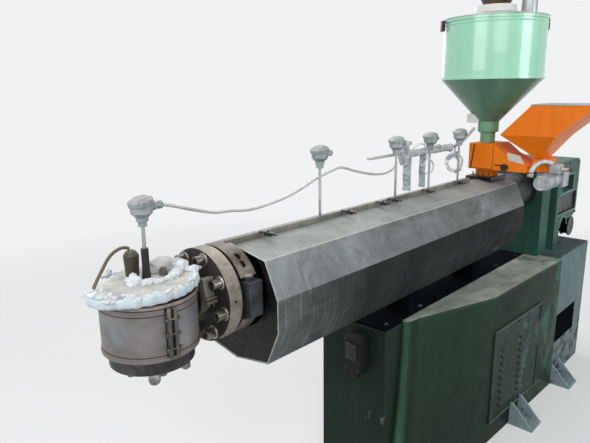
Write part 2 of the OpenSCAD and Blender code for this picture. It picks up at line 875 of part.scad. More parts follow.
plug_x = die_x - plug_reach;
module bulb_plug() {
    foot_z = band_top + 22 + blanket_t;
    color("#2b2a2a")
    translate([plug_x, plug_y, foot_z]) {
        cylinder(d1 = plug_d, d2 = plug_d + 6, h = plug_h - 14);
        translate([0, 0, plug_h - 14 - e]) cylinder(d1 = plug_d + 6, d2 = plug_d - 6, h = 9);
        translate([0, 0, plug_h - 5 - 2 * e]) cylinder(d1 = plug_d - 6, d2 = 12, h = 5);
    }
}

module bulb_conduit() {
    color("#6e675c") swept_tube([for (p = conduit_route) p + [0, 0, axis_h]], 8, 8);
}
// Route of the plug's lead, over the die's front and down onto the blanket's edge
conduit_route = [
    [-2077, 42, 155], [-2089, 42, 159], [-2104, 40, 159], [-2124, 34, 154], [-2143, 25, 144],
    [-2164, 14, 126], [-2180, 10, 107], [-2190, 9, 91]
];

module stem_at(x, z0, z1, d) {
    translate([x, 0, z0]) cylinder(d = d, h = z1 - z0);
}

module sensor_stems() {
    color("#8f9296") {
        stem_at(die_x, band_top + 12, die_sensor_h, stem_d);
        stem_at(die_x, band_top + 28, band_top + 111, stem_d + 8);
        for (x = sensor_steps)
            translate([0, sensor_y, 0]) stem_at(cover_front_x + x, stem_foot_z, sensor_h, stem_d);
    }
}

die_sensor_h = axis_h + die_sensor_rise;
sensor_h = axis_h + sensor_rise;

// A connection head: bowl, hexagon nut below, sloping lid and lead gland towards +X
module sensor_head() {
    cylinder(d = 24, h = 13, $fn = 6);
    translate([0, 0, 13 - e]) cylinder(d = 28, h = 9);
    translate([0, 0, 22 - 2 * e]) cylinder(d1 = 32, d2 = sensor_head_d, h = 10);
    translate([0, 0, 32 - 3 * e]) cylinder(d = sensor_head_d, h = sensor_head_h - 22);
    translate([18, 0, 44]) rotate([0, 90, 0]) cylinder(d = 18, h = 36);
    translate([0, 0, sensor_head_h + 16]) rotate([0, -sensor_lid_tilt, 0]) {
        translate([0, 0, -12]) cylinder(d = sensor_head_d, h = 12 + e);
        cylinder(d = sensor_lid_d, h = 10);
        translate([0, 0, 10 - e]) cylinder(d1 = sensor_lid_d - 5, d2 = sensor_lid_d - 24, h = 7);
    }
}

// Foot of each head
head_list = concat(
    [[die_x, 0, die_sensor_h]],
    [for (x = sensor_steps) [cover_front_x + x, sensor_y, sensor_h]]
);

module sensor_heads() {
    color("#a9adb0")
    for (h = head_list) translate(h) sensor_head();
}

// Route of the sensor lead from the die sensor's gland to the wrapped leads, from the axis
lead_route = [
    [-2006, 0, 257], [-1990, 0, 253], [-1961, 2, 244], [-1909, 6, 227], [-1839, 10, 208],
    [-1785, 12, 203], [-1712, 14, 194], [-1633, 16, 198], [-1548, 20, 209], [-1470, 25, 227],
    [-1411, 28, 245], [-1360, 28, 256], [-1299, 27, 267], [-1260, 27, 260], [-1218, 27, 248],
    [-1160, 29, 234], [-1108, 31, 223], [-1060, 33, 217], [-1014, 35, 216], [-972, 38, 222],
    [-946, 41, 234], [-931, 42, 243]
];

module sensor_lead() {
    color("#b9bcb8") swept_tube([for (p = lead_route) p + [0, 0, axis_h]], 9, 8);
}

duct_x0 = -884;
duct_x1 = -510;
duct_y = 42;
duct_z = axis_h + 272;
module lead_duct() {
    color("#9fa3a5")
    translate([duct_x0, duct_y, duct_z]) rotate([0, 90, 0]) cylinder(d = duct_d, h = duct_x1 - duct_x0);
}

// Taped leads: two upright ones that carry the duct, the lump at its front end with a
// loose end, and the coil of spare lead that hangs at its rear end
module lead_wraps() {
    top_z = duct_z - duct_d / 2 - seat;
    coil_x = duct_x1 + 40;
    coil_z = duct_z - 74;
    coil_r = coil_d / 2 - 3;
    color("#a8aaa6") {
        for (w = [[-856, 34], [-742, 27]]) {
            foot_z = cover_z + cover_ridge_h
                - (cover_ridge_h - cover_shoulder_h) * (duct_y - w[1] / 2) / cover_shoulder_w + seat;
            translate([w[0], duct_y, foot_z]) cylinder(d = w[1], h = top_z - foot_z);
        }
        translate([duct_x0 - 22 - seat, duct_y, duct_z - 44]) {
            cylinder(d1 = 34, d2 = 44, h = 20);
            translate([0, 0, 20 - e]) cylinder(d = 44, h = 56);
            translate([0, 0, 76 - 2 * e]) cylinder(d1 = 44, d2 = 26, h = 26);
        }
        translate([-1119, duct_y, duct_z + 5]) rotate([0, 90, 0]) cylinder(d = 12, h = 200);
        translate([duct_x1 + seat, duct_y, duct_z]) rotate([0, 90, 0]) cylinder(d = 12, h = 44);
        translate([coil_x, duct_y, coil_z + coil_r]) cylinder(d = 9, h = duct_z - coil_z - coil_r);
        translate([coil_x, duct_y, coil_z])
            for (a = [-8, 8]) rotate([0, 90 + a, 46])
                rotate_extrude() translate([coil_r, 0]) circle(d = 7, $fn = 24);
    }
}

doser_x = hopper_x - doser_len / 2;
module doser_housing() {
    y0 = -doser_w / 2 - 22;
    color("#e8761c") {
        block([doser_x, y0, doser_z], [doser_len, doser_w + 22, doser_h]);
        translate([doser_x, y0 + e, doser_z]) rotate([90, 0, 90]) linear_extrude(doser_len)
            polygon([
                [0, 0], [0, doser_h], [-54, doser_h - 44], [-doser_reach, 30], [-doser_reach, 0]
            ]);
        block([pan_mid_x - 40, y0 - doser_reach - 72, doser_z], [80, 73, pan_foot_rise]);
        translate([hopper_x, -7, bar_z + 12 + seat])
            cylinder(d = doser_neck_d, h = doser_z - bar_z - 12 - seat + e);
    }
}

module doser_flange() {
    color("#2b2d30")
    translate([doser_x - 4, 0, cover_z]) rotate([90, 0, 90]) linear_extrude(doser_len)
        polygon([
            [-66, shoulder_z(66)], [0, cover_ridge_h + seat], [56, shoulder_z(56)],
            [56, cover_ridge_h + 12], [-66, cover_ridge_h + 12]
        ]);
}

// White plate across the doser's front face, given in Y and Z from the doser's underside
plate_corners = [[-129, 83], [-188, 73], [-210, 36], [-139, 48]];
module doser_plate() {
    color("#e9e7dc")
    translate([doser_x - 3 - seat, 0, doser_z]) rotate([90, 0, 90]) linear_extrude(3)
        polygon(plate_corners);
}

module doser_knob() {
    color("#1c1c1c")
    translate([doser_x - 16, -125, doser_z + 18]) rotate([0, 90, 0]) cylinder(d = 28, h = 16);
}

// The doser's hopper: a sloping belt over a tapered pan, open under its lid. Depths
// run from the barrel axis towards the operator.
pan_x0 = hopper_x - 90;
pan_mid_x = pan_x0 + pan_len / 2;
pan_back = 96;
pan_lid = 222;
pan_knee = 330;
pan_lip = 450;
module doser_pan(grow) {
    x0 = pan_x0 + grow;
    x1 = pan_x0 + pan_len - grow;
    knee_z = doser_z + pan_knee_rise;
    rim_z = doser_z + pan_rim_rise;
    translate([x0, 0, 0]) rotate([90, 0, 90]) linear_extrude(x1 - x0)
        polygon([
            [-pan_back - grow, knee_z], [-pan_lid - grow, rim_z], [-pan_lip + grow, rim_z],
            [-pan_lip + grow, rim_z - 22], [-pan_knee + grow, knee_z]
        ]);
    hull() {
        block([x0, -pan_knee + grow, knee_z - e], [x1 - x0, pan_knee - pan_back - 2 * grow, 2 * e]);
        block([x0 + 60, -262 + grow, doser_z + pan_foot_rise + seat], [x1 - x0 - 120, 26 - 2 * grow, 1]);
    }
}

module doser_hopper() {
    color("#ee7f22")
    difference() {
        doser_pan(0);
        translate([0, 0, pan_wall]) doser_pan(pan_wall);
    }
}

module doser_hopper_lid() {
    color("#b4b6b4")
    block([pan_x0 - 3, -pan_lip - 3, doser_z + pan_rim_rise + seat],
        [pan_len + 6, pan_lip - pan_lid + 6, 5]);
}

motor_at = [hopper_x - 126, -300, doser_z - motor_d / 2 - 2];
module doser_motor() {
    color("#aeb3b6") {
        translate(motor_at) rotate([0, 90, 0]) cylinder(d = motor_d, h = motor_len);
        block([motor_at.x + motor_len - e, motor_at.y - 35, motor_at.z - 35],
            [70, 35 - motor_at.y - doser_w / 2 - 22 - doser_reach, doser_z - seat - motor_at.z + 35]);
    }
}

module motor_terminal_box() {
    color("#c2c6c8")
    block([motor_at.x + 96, motor_at.y - 38, motor_at.z + motor_d / 2 + seat], [62, 44, 40]);
}

module hopper_neck() {
    color("#7cc39b")
    difference() {
        union() {
            translate([hopper_x, 0, doser_z + doser_h]) cylinder(d = throat_d, h = 60);
            translate([hopper_x, 0, cone_z - collar_h]) cylinder(d = collar_d, h = collar_h);
        }
        translate([hopper_x, 0, doser_z]) cylinder(d = throat_d - 8, h = 400);
    }
}

module hopper_cone() {
    r0 = collar_d / 2;
    r1 = drum_d / 2;
    color("#5fae8a")
    translate([hopper_x, 0, 0]) rotate_extrude()
        polygon([
            [r0, cone_z], [r1, seam_h], [r1 - hopper_wall, seam_h],
            [r0 - hopper_wall * 1.4, cone_z + hopper_wall * 0.4],
            [r0 - hopper_wall * 1.4, cone_z]
        ]);
}

module hopper_drum() {
    color("#8fd3ae")
    translate([hopper_x, 0, seam_h])
    difference() {
        union() {
            cylinder(d = drum_d, h = drum_h);
            cylinder(d = drum_d + 8, h = 10);
            translate([0, 0, drum_h - 10]) cylinder(d = drum_d + 10, h = 10);
        }
        translate([0, 0, -1]) cylinder(d = drum_d - 2 * hopper_wall, h = drum_h + 2);
    }
}

module hopper_lid() {
    color("#9a9d9c")
    translate([hopper_x, 0, seam_h + drum_h]) {
        cylinder(d = drum_d + 10, h = 6);
        translate([0, 0, 6 - e]) cylinder(d1 = drum_d - 20, d2 = 200, h = 22);
    }
}

module hopper_clips() {
    color("#1d1d1d")
    for (a = [-46, 44, 134])
        translate([hopper_x, 0, seam_h + drum_h - 46]) rotate([0, 0, a])
            block([drum_d / 2 + 5 + seat, -12, 0], [16, 24, 44]);
}

// Level sensor: a box on the cone's far front side
module level_sensor() {
    color("#e4e4e0")
    difference() {
        translate([hopper_x, 0, cone_z]) rotate([0, 0, 134]) block([50, -17, -6], [45, 34, 40]);
        translate([hopper_x, 0, 0]) rotate_extrude()
            polygon([
                [0, cone_z - 1], [collar_d / 2 + seat, cone_z - 1], [collar_d / 2 + seat, cone_z],
                [drum_d / 2 + seat, seam_h], [0, seam_h]
            ]);
    }
}

loader_z = seam_h + drum_h + 28;
module loader_base() {
    color("#e3e3df")
    translate([hopper_x, 0, loader_z - e]) cylinder(d = loader_d, h = loader_base_h);
}

module loader_body() {
    color("#4b3427")
    translate([hopper_x, 0, loader_z + loader_base_h]) cylinder(d1 = 110, d2 = 150, h = 40);
}

module loader_duct() {
    color("#c4c6c6")
    difference() {
        translate([hopper_x + 70, -118, seam_h + drum_h + 6 + 2 * seat]) cylinder(d = 66, h = 80);
        translate([hopper_x, 0, seam_h + drum_h + 6 + seat])
            cylinder(d1 = drum_d - 20, d2 = 200, h = 22);
        translate([hopper_x, 0, loader_z - 1]) cylinder(d = loader_d + 2 * seat, h = 100);
    }
}

base_frame();
deck_plate();
near_cover();
far_side_sheet();
access_panel();
anchor_feet();
socket_box();
drive_cabinet();
cabinet_top();
thrust_column();
gear_case();
guard_panel();
guard_plate();
belt_pulley();
feed_section();
barrel();
cover_near_half();
cover_far_half();
cover_end_plates();
ridge_bar();
ridge_clips();
barrel_stands();
barrel_flange();
clamp_ring_upper();
clamp_ring_lower();
clamp_bolts();
head_bolts();
head_adapter();
adapter_heater();
die_body();
die_heater_band();
band_clamp();
die_top_ring();
die_nozzle();
insulation_blanket();
bulb_plug();
bulb_conduit();
sensor_stems();
sensor_heads();
sensor_lead();
lead_duct();
lead_wraps();
doser_housing();
doser_flange();
doser_plate();
doser_knob();
doser_hopper();
doser_hopper_lid();
doser_motor();
motor_terminal_box();
hopper_neck();
hopper_cone();
hopper_drum();
hopper_lid();
hopper_clips();
level_sensor();
loader_base();
loader_body();
loader_duct();
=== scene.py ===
import bpy
import bmesh
import math
import random
from mathutils import Matrix, Vector, noise


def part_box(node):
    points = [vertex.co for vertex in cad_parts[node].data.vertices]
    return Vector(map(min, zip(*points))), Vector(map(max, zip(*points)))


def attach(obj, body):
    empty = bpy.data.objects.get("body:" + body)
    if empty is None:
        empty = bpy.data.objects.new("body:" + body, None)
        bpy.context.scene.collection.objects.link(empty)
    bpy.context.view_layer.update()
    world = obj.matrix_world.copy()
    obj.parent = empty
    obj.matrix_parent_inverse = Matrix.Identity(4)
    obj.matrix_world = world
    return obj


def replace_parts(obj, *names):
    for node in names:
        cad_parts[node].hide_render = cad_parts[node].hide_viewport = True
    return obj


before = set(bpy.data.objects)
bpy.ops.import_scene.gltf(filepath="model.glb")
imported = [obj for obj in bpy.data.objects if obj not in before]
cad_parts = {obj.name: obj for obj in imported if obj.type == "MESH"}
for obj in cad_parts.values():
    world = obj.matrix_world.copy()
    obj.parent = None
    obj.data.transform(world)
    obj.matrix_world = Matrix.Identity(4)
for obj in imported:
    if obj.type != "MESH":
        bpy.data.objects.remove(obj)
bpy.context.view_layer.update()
dieX, axisH, coverFrontX = -2.060, 1.057, -1.790  # the machine's main lines, in metres
hopperX, bandLow, bandHigh = -0.242, 0.980, 1.104
random.seed(7)


def blank():
    bm = bmesh.new()
    bm.verts.layers.int.new("row")
    return bm


def shift(x, y, z):
    return Matrix.Translation((x, y, z))


def spin(degrees, axis):
    return Matrix.Rotation(math.radians(degrees), 4, axis)


def toMesh(bm, name, material, shade=35):  # edges sharper than shade, in degrees, stay crisp
    bmesh.ops.remove_doubles(bm, verts=bm.verts, dist=1e-6)
    bmesh.ops.recalc_face_normals(bm, faces=bm.faces)
    mesh = bpy.data.meshes.new(name)
    bm.to_mesh(mesh)
    bm.free()
    stale = mesh.attributes.get("custom_normal")
    if stale:  # the solid's stored normals no longer fit its edited corners
        mesh.attributes.remove(stale)
    obj = bpy.data.objects.new(name, mesh)
    bpy.context.scene.collection.objects.link(obj)
    mesh.materials.append(material)
    mesh.polygons.foreach_set("use_smooth", [True] * len(mesh.polygons))
    mesh.set_sharp_from_angle(angle=math.radians(shade))
    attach(obj, "root")
    return obj


def placed(bm, before, place):  # moves what was made since before was taken
    bmesh.ops.transform(bm, matrix=place, verts=[v for v in bm.verts if v not in before])


def turned(bm, profile, place, sides, hexed=(), arc=360):
    # a lathed shape about its own Z; the rows named in hexed are six-sided
    before = set(bm.verts)
    row = bm.verts.layers.int["row"]
    verts = [bm.verts.new((r, 0, z)) for r, z in profile]
    for k, v in enumerate(verts):
        v[row] = k
    edges = [bm.edges.new(p) for p in zip(verts, verts[1:])]
    bmesh.ops.spin(bm, geom=verts + edges, cent=(0, 0, 0), axis=(0, 0, 1), steps=sides,
                   angle=math.radians(arc), use_merge=arc == 360, use_duplicate=False)
    flat = math.cos(math.radians(30))
    for v in bm.verts:
        if hexed and v not in before and v[row] in hexed:
            past = math.degrees(math.atan2(v.co.y, v.co.x)) % 60 - 30
            v.co.xy *= flat / math.cos(math.radians(past))
    placed(bm, before, place)


def rod(bm, place, r, low, high, sides=16):
    turned(bm, [(0, low), (r, low), (r, high), (0, high)], place, sides)


def sleeve(bm, place, inner, outer, low, high, sides=36):  # open on its hidden inner side
    turned(bm, [(inner, low), (outer, low), (outer, high), (inner, high)], place, sides)


def dome(bm, place, r, h):  # a small screw's head
    turned(bm, [(0, 0), (r, 0), (r, h), (0, h + 0.0006)], place, 16)


def socketBolt(bm, place, r, h, socket):
    ease, deep = 0.0014, h * 0.45
    turned(bm, [(0, 0), (r, 0), (r, h - ease), (r - ease, h), (socket + 0.0012, h), (socket, h - 0.0012),
                (socket, deep), (0, deep)], place, 36, (5, 6))


def hexNut(bm, place, r, h, stud=0.0, studR=0.0):
    turned(bm, [(0, 0), (r, 0), (r, h * 0.8), (r * 0.86, h), (0, h)], place, 36, (1, 2))
    if stud:
        ease, top = 0.0006, h + stud
        turned(bm, [(0, h * 0.5), (studR, h * 0.5), (studR, top - ease), (studR - ease, top), (0, top)], place, 20)


def washer(bm, place, r, h):
    turned(bm, [(0, 0), (r, 0), (r, h * 0.6), (r - h * 0.4, h), (0, h)], place, 36)


def softBox(bm, size, place, edge, steps=2):
    before = set(bm.verts)
    made = bmesh.ops.create_cube(bm, size=1)["verts"]
    bmesh.ops.scale(bm, vec=size, verts=made)
    if edge:
        edges = list({e for v in made for e in v.link_edges})
        bmesh.ops.bevel(bm, geom=edges, offset=edge, segments=steps, affect="EDGES",
                        profile=0.5, material=-1, clamp_overlap=True)
    placed(bm, before, place)


def aim(at, along):  # a frame at a point whose Z runs along a direction
    return shift(*at) @ Vector(along).normalized().to_track_quat("Z", "Y").to_matrix().to_4x4()


def smoothRoute(points, parts):  # a soft curve through the points
    points = [Vector(p) for p in points]
    line = []
    for i in range(len(points) - 1):
        a, b, c, d = points[max(0, i - 1)], points[i], points[i + 1], points[min(len(points) - 1, i + 2)]
        for k in range(parts):
            t = k / parts
            line.append(0.5 * ((2 * b) + (c - a) * t + (2 * a - 5 * b + 4 * c - d) * t * t
                               + (3 * b - a - 3 * c + d) * t ** 3))
    return line + [points[-1]]


def carried(line):  # frames along a line, Z along it, without twist
    frames, side = [], None
    for i, p in enumerate(line):
        way = (line[min(i + 1, len(line) - 1)] - line[max(i - 1, 0)]).normalized()
        side = way.orthogonal().normalized() if side is None else (side - way * side.dot(way)).normalized()
        place = Matrix((side, way.cross(side), way)).transposed().to_4x4()
        place.translation = p
        frames.append(place)
    return frames


def tube(line, radius, name, material, sides=14, swell=None):
    # a closed tube along a line; its UV counts turns round it and girths along it
    bm = bmesh.new()
    uv = bm.loops.layers.uv.new("UVMap")
    spoke, ring = bm.verts.layers.int.new("spoke"), bm.verts.layers.int.new("ring")
    frames = carried(line)
    sizes = [radius * (swell(i / (len(line) - 1)) if swell else 1) for i in range(len(line))]
    verts = bmesh.ops.create_circle(bm, cap_ends=True, segments=sides, radius=sizes[0], matrix=frames[0])["verts"]
    for k, v in enumerate(verts):
        v[spoke] = k
    edges, run = list(bm.edges), [0.0]
    for i in range(1, len(line)):
        made = bmesh.ops.extrude_edge_only(bm, edges=edges)["geom"]
        verts = [g for g in made if isinstance(g, bmesh.types.BMVert)]
        fresh = set(verts)
        edges = [g for g in made if isinstance(g, bmesh.types.BMEdge) and fresh.issuperset(g.verts)]
        for v in verts:
            v[ring] = i
        step = frames[i] @ Matrix.Scale(sizes[i] / sizes[i - 1], 4) @ frames[i - 1].inverted()
        bmesh.ops.transform(bm, matrix=step, verts=verts)
        run.append(run[-1] + (line[i] - line[i - 1]).length)
    bmesh.ops.holes_fill(bm, edges=edges, sides=0)
    for face in bm.faces:
        turns = [loop.vert[spoke] for loop in face.loops]
        wraps = 0 in turns and sides - 1 in turns
        for loop in face.loops:
            k = loop.vert[spoke] or (sides if wraps else 0)
            loop[uv].uv = (k / sides, run[loop.vert[ring]] / (2 * math.pi * radius))
    return toMesh(bm, name, material, 60)


def blob(bm, at, size, seed, rough, turn, detail=4):  # a torn, fluffy lump
    waves = ((0.34, 1.7), (0.22, 4.1), (0.13, 10))  # height and closeness
    verts = bmesh.ops.create_icosphere(bm, subdivisions=detail, radius=1)["verts"]
    for v in verts:
        p = v.co + Vector((seed * 7.3, seed * 3.1, 0))
        v.co *= 1 + rough * sum(high * noise.noise(p * close) for high, close in waves)
    bmesh.ops.transform(bm, verts=verts, matrix=shift(*at) @ spin(turn, "Z") @ Matrix.Diagonal((*size, 1)))


def newMaterial(name, metallic, roughness, coat=0.0, gloss=0.3):
    mat = bpy.data.materials.new(name)
    mat.use_nodes = True
    inputs = mat.node_tree.nodes["Principled BSDF"].inputs
    for key, value in (("Metallic", metallic), ("Roughness", roughness), ("Coat Weight", coat),
                       ("Specular IOR Level", gloss)):
        inputs[key].default_value = value
    return mat, mat.node_tree


def coords(tree, scale=(1, 1, 1), turn=(0, 0, 0), source="Object"):
    coord = tree.nodes.new("ShaderNodeTexCoord")
    mapping = tree.nodes.new("ShaderNodeMapping")
    mapping.inputs["Scale"].default_value = scale
    mapping.inputs["Rotation"].default_value = [math.radians(a) for a in turn]
    tree.links.new(coord.outputs[source], mapping.inputs["Vector"])
    return mapping.outputs["Vector"]


def grain(tree, vector, scale, detail=5, rough=0.55, twist=0.0):
    tex = tree.nodes.new("ShaderNodeTexNoise")
    for key, value in (("Scale", scale), ("Detail", detail), ("Roughness", rough), ("Distortion", twist)):
        tex.inputs[key].default_value = value
    tree.links.new(vector, tex.inputs["Vector"])
    return tex.outputs["Fac"]


def ramp(tree, value, stops):
    node = tree.nodes.new("ShaderNodeValToRGB")
    elements = node.color_ramp.elements
    while len(elements) < len(stops):
        elements.new(0.5)
    for element, (at, colour) in zip(elements, stops):
        element.position = at
        element.color = (colour,) * 3 + (1,) if isinstance(colour, (int, float)) else (*colour, 1)
    tree.links.new(value, node.inputs["Fac"])
    return node.outputs["Color"]


def joined(tree, sockets, values):  # each value is a node's output, a number or a colour
    for socket, value in zip(sockets, values):
        if isinstance(value, bpy.types.NodeSocket):
            tree.links.new(value, socket)
        else:
            socket.default_value = value if isinstance(value, (int, float)) else (*value, 1)


def mix(tree, amount, first, second):
    node = tree.nodes.new("ShaderNodeMix")
    node.data_type = "RGBA"
    joined(tree, (node.inputs[0], node.inputs[6], node.inputs[7]), (amount, first, second))
    return node.outputs[2]


def calc(tree, kind, a, b=0.5, clamp=False):
    node = tree.nodes.new("ShaderNodeMath")
    node.operation, node.use_clamp = kind, clamp
    joined(tree, node.inputs, (a, b))
    return node.outputs[0]


def times(tree, a, b):
    return calc(tree, "MULTIPLY", a, b)


def axisOf(tree, name, source="Object"):  # one coordinate, or one part of the true normal
    if source == "Normal":
        out = tree.nodes.new("ShaderNodeNewGeometry").outputs["True Normal"]
    else:
        out = tree.nodes.new("ShaderNodeTexCoord").outputs[source]
    split = tree.nodes.new("ShaderNodeSeparateXYZ")
    tree.links.new(out, split.inputs[0])
    return split.outputs[name]


def span(tree, value, low, high, first=0.0, last=1.0):
    node = tree.nodes.new("ShaderNodeMapRange")
    node.clamp = True
    for key, number in (("From Min", low), ("From Max", high), ("To Min", first), ("To Max", last)):
        node.inputs[key].default_value = number
    tree.links.new(value, node.inputs["Value"])
    return node.outputs["Result"]


def between(tree, value, a, b, c, d):  # rises from a to b and falls from c to d
    return times(tree, span(tree, value, a, b), span(tree, value, c, d, 1.0, 0.0))


def stained(tree, colour, tint, pattern, low, high, most):
    # the tint shows where the pattern passes low, and most of it from high on
    return mix(tree, ramp(tree, pattern, [(low, 0.0), (high, most)]), colour, tint)


def drifts(tree, at, size, detail, rough, least):  # uneven cover of dust, never less than least
    return span(tree, grain(tree, at, size, detail, rough), 0.30, 0.62, least, 1.0)


def dressed(mat, values, layers):
    # the worked-out values and the relief, whose layers are a height, its strength and its distance in metres
    tree, normal = mat.node_tree, None
    inputs = tree.nodes["Principled BSDF"].inputs
    for key, value in values.items():
        tree.links.new(value, inputs[key])
    for height, strength, distance in layers:
        node = tree.nodes.new("ShaderNodeBump")
        node.inputs["Strength"].default_value = strength
        node.inputs["Distance"].default_value = distance
        tree.links.new(height, node.inputs["Height"])
        if normal is not None:
            tree.links.new(normal, node.inputs["Normal"])
        normal = node.outputs["Normal"]
    tree.links.new(normal, inputs["Normal"])
    return mat


def paint(name, s):
    # sheet metal paint: patches, runs of grime, dust on what faces up, chips, fine orange peel
    mat, tree = newMaterial(name, 0.0, s["rough"], s.get("coat", 0.0), s.get("gloss", 0.3))
    at = coords(tree)
    colour = ramp(tree, grain(tree, at, 3.2, 6, 0.62, 0.4), [(0.30, s["colour"]), (0.70, s["faded"])])
    runs = grain(tree, coords(tree, (30, 30, 1.6)), 1.0, 6, 0.68)
    colour = stained(tree, colour, s["grime"], runs, 0.47, 0.72, s["runs"])
    colour = stained(tree, colour, s["grime"], grain(tree, at, 55, 4, 0.7), 0.56, 0.70, s.get("spots", 0.35))
    up = times(tree, span(tree, axisOf(tree, "Z", "Normal"), 0.35, 0.9), drifts(tree, at, 9, 7, 0.66, 0.45))
    colour = mix(tree, times(tree, up, s["dustTop"]), colour, s["dust"])
    if "corner" in s:  # painted highlight where the front turns into the side
        wearAndHighlight = between(tree, axisOf(tree, "X", "Normal"), -0.985, -0.90, -0.50, -0.24)
        wearAndHighlight = times(tree, wearAndHighlight, span(tree, grain(tree, at, 5, 7, 0.65), 0.3, 0.65, 0.35, 1.0))
        colour = mix(tree, wearAndHighlight, colour, s["corner"])
    if "rear" in s:  # towards the drive the paint is worn to a lighter coat
        bare = grain(tree, coords(tree, (1, 1, 0.55)), 7, 8, 0.70, 0.5)
        bare = calc(tree, "ADD", bare, span(tree, axisOf(tree, "X"), s["rearFrom"], s["rearFrom"] + 0.7, -0.28, 0.10))
        colour = stained(tree, colour, s["rear"], bare, 0.52, 0.58, 0.75)
    peel = calc(tree, "ADD", grain(tree, at, s.get("chipSize", 11), 9, 0.74, 0.3),
                span(tree, grain(tree, at, 2.3, 3), 0.35, 0.7, -0.12, 0.06))
    chips = ramp(tree, peel, [(s["chips"], 0.0), (s["chips"] + 0.012, 1.0)])
    colour = mix(tree, chips, colour, s["primer"])
    scratches = grain(tree, coords(tree, (3, 3, 90), (0, 38, 20)), 1.0, 3, 0.5)
    colour = stained(tree, colour, s["primer"], scratches, 0.725, 0.75, s.get("scratches", 0.25))
    rough = span(tree, grain(tree, at, 14, 6, 0.6), 0.3, 0.7, s["rough"] - 0.09, s["rough"] + 0.12)
    rough = calc(tree, "ADD", rough, times(tree, up, 0.25), True)
    return dressed(mat, {"Base Color": colour, "Roughness": rough}, [
        (grain(tree, at, 320, 2, 0.5), 0.10, 0.0006), (grain(tree, at, 5, 3, 0.5), s.get("wave", 0.20), 0.006),
        (chips, 0.35, -0.0004)])


def steel(name, s):
    # bare or plated metal: cloudy stains, drawn scratches one way, dust on what faces up
    metallic = s.get("metallic", 0.85)
    mat, tree = newMaterial(name, metallic, s["rough"])
    at = coords(tree)
    cloud = grain(tree, at, s.get("patch", 5), 8, 0.68, 0.6)
    colour = ramp(tree, cloud, [(0.32, s["stain"]), (0.52, s["colour"]), (0.74, s["light"])])
    runs = grain(tree, coords(tree, (60, 60, 2.2)), 1.0, 6, 0.66)
    colour = stained(tree, colour, s["stain"], runs, 0.46, 0.70, s.get("runs", 0.5))
    fine = grain(tree, coords(tree, (4, 4, 4)), 60, 3, 0.6)
    colour = mix(tree, span(tree, fine, 0.35, 0.7, 0.0, 0.25), colour, s["light"])
    marks = grain(tree, coords(tree, (110, 3, 5)), 1.0, 2, 0.5)
    marks = ramp(tree, marks, [(0.70, 0.0), (0.72, s.get("marks", 0.3))])
    colour = mix(tree, marks, colour, s["light"])
    up = times(tree, span(tree, axisOf(tree, "Z", "Normal"), 0.5, 0.95), drifts(tree, at, 7, 8, 0.7, 0.5))
    dusty = times(tree, up, s.get("dustTop", 0.0))
    rough = span(tree, grain(tree, at, 18, 7, 0.65), 0.3, 0.72, s["rough"] - 0.10, s["rough"] + 0.14)
    values = {"Base Color": mix(tree, dusty, colour, s.get("dust", (0.42, 0.38, 0.32))),
              "Roughness": calc(tree, "ADD", rough, times(tree, dusty, 0.35), True)}
    if s.get("dustTop"):  # dust doesn't shine as metal
        values["Metallic"] = span(tree, dusty, 0.0, 1.0, metallic, 0.05)
    return dressed(mat, values, [(grain(tree, at, s.get("pit", 240), 3, 0.6), s.get("pitting", 0.12), 0.0006),
                                 (cloud, 0.15, 0.003), (marks, 0.15, -0.0002)])


def iron(name, s):
    # cast and forged parts of the hot end: burnt on oil, oxide bloom, gritty skin
    mat, tree = newMaterial(name, s.get("metallic", 0.45), s["rough"], 0.0, 0.2)
    at = coords(tree)
    colour = ramp(tree, grain(tree, at, s.get("patch", 14), 8, 0.7, 0.5),
                  [(0.34, s["dark"]), (0.55, s["colour"]), (0.76, s["light"])])
    oil = grain(tree, coords(tree, (1, 1, 0.6)), 9, 7, 0.66, 0.9)
    oil = ramp(tree, oil, [(0.44, 0.0), (0.60, s["oil"])])
    colour = mix(tree, oil, colour, s["dark"])
    grit = grain(tree, at, 130, 4, 0.75)
    colour = stained(tree, colour, s["light"], grit, 0.58, 0.70, 0.45)
    colour = stained(tree, colour, (0.20, 0.095, 0.045), grain(tree, at, 22, 8, 0.72), 0.60, 0.72, s.get("rust", 0.3))
    if "face" in s:  # the front faces are burnt black with oil
        front = span(tree, axisOf(tree, "X", "Normal"), -0.93, -0.80, 0.92, 0.0)
        colour = mix(tree, front, colour, s["face"])
    rough = span(tree, oil, 0.0, 0.6, s["rough"], s["rough"] * 0.62)
    return dressed(mat, {"Base Color": colour, "Roughness": rough}, [
        (grain(tree, at, 90, 6, 0.7), s.get("skin", 0.35), 0.0016), (grit, 0.22, 0.0007)])


def plastic(name, s):
    # moulded plastic and rubber, with a little dust on what faces up
    mat, tree = newMaterial(name, 0.0, s["rough"])
    at = coords(tree)
    colour = ramp(tree, grain(tree, at, 12, 5, 0.6), [(0.3, s["colour"]), (0.75, s["light"])])
    up = span(tree, axisOf(tree, "Z", "Normal"), 0.3, 1.0, 0.0, s.get("dustTop", 0.3))
    up = times(tree, up, span(tree, grain(tree, at, 40, 5, 0.7), 0.35, 0.65))
    rough = span(tree, grain(tree, at, 30, 4), 0.3, 0.7, s["rough"] - 0.08, s["rough"] + 0.12)
    return dressed(mat, {"Base Color": mix(tree, up, colour, (0.40, 0.37, 0.32)), "Roughness": rough},
                   [(grain(tree, at, 420, 2), 0.10, 0.0004)])


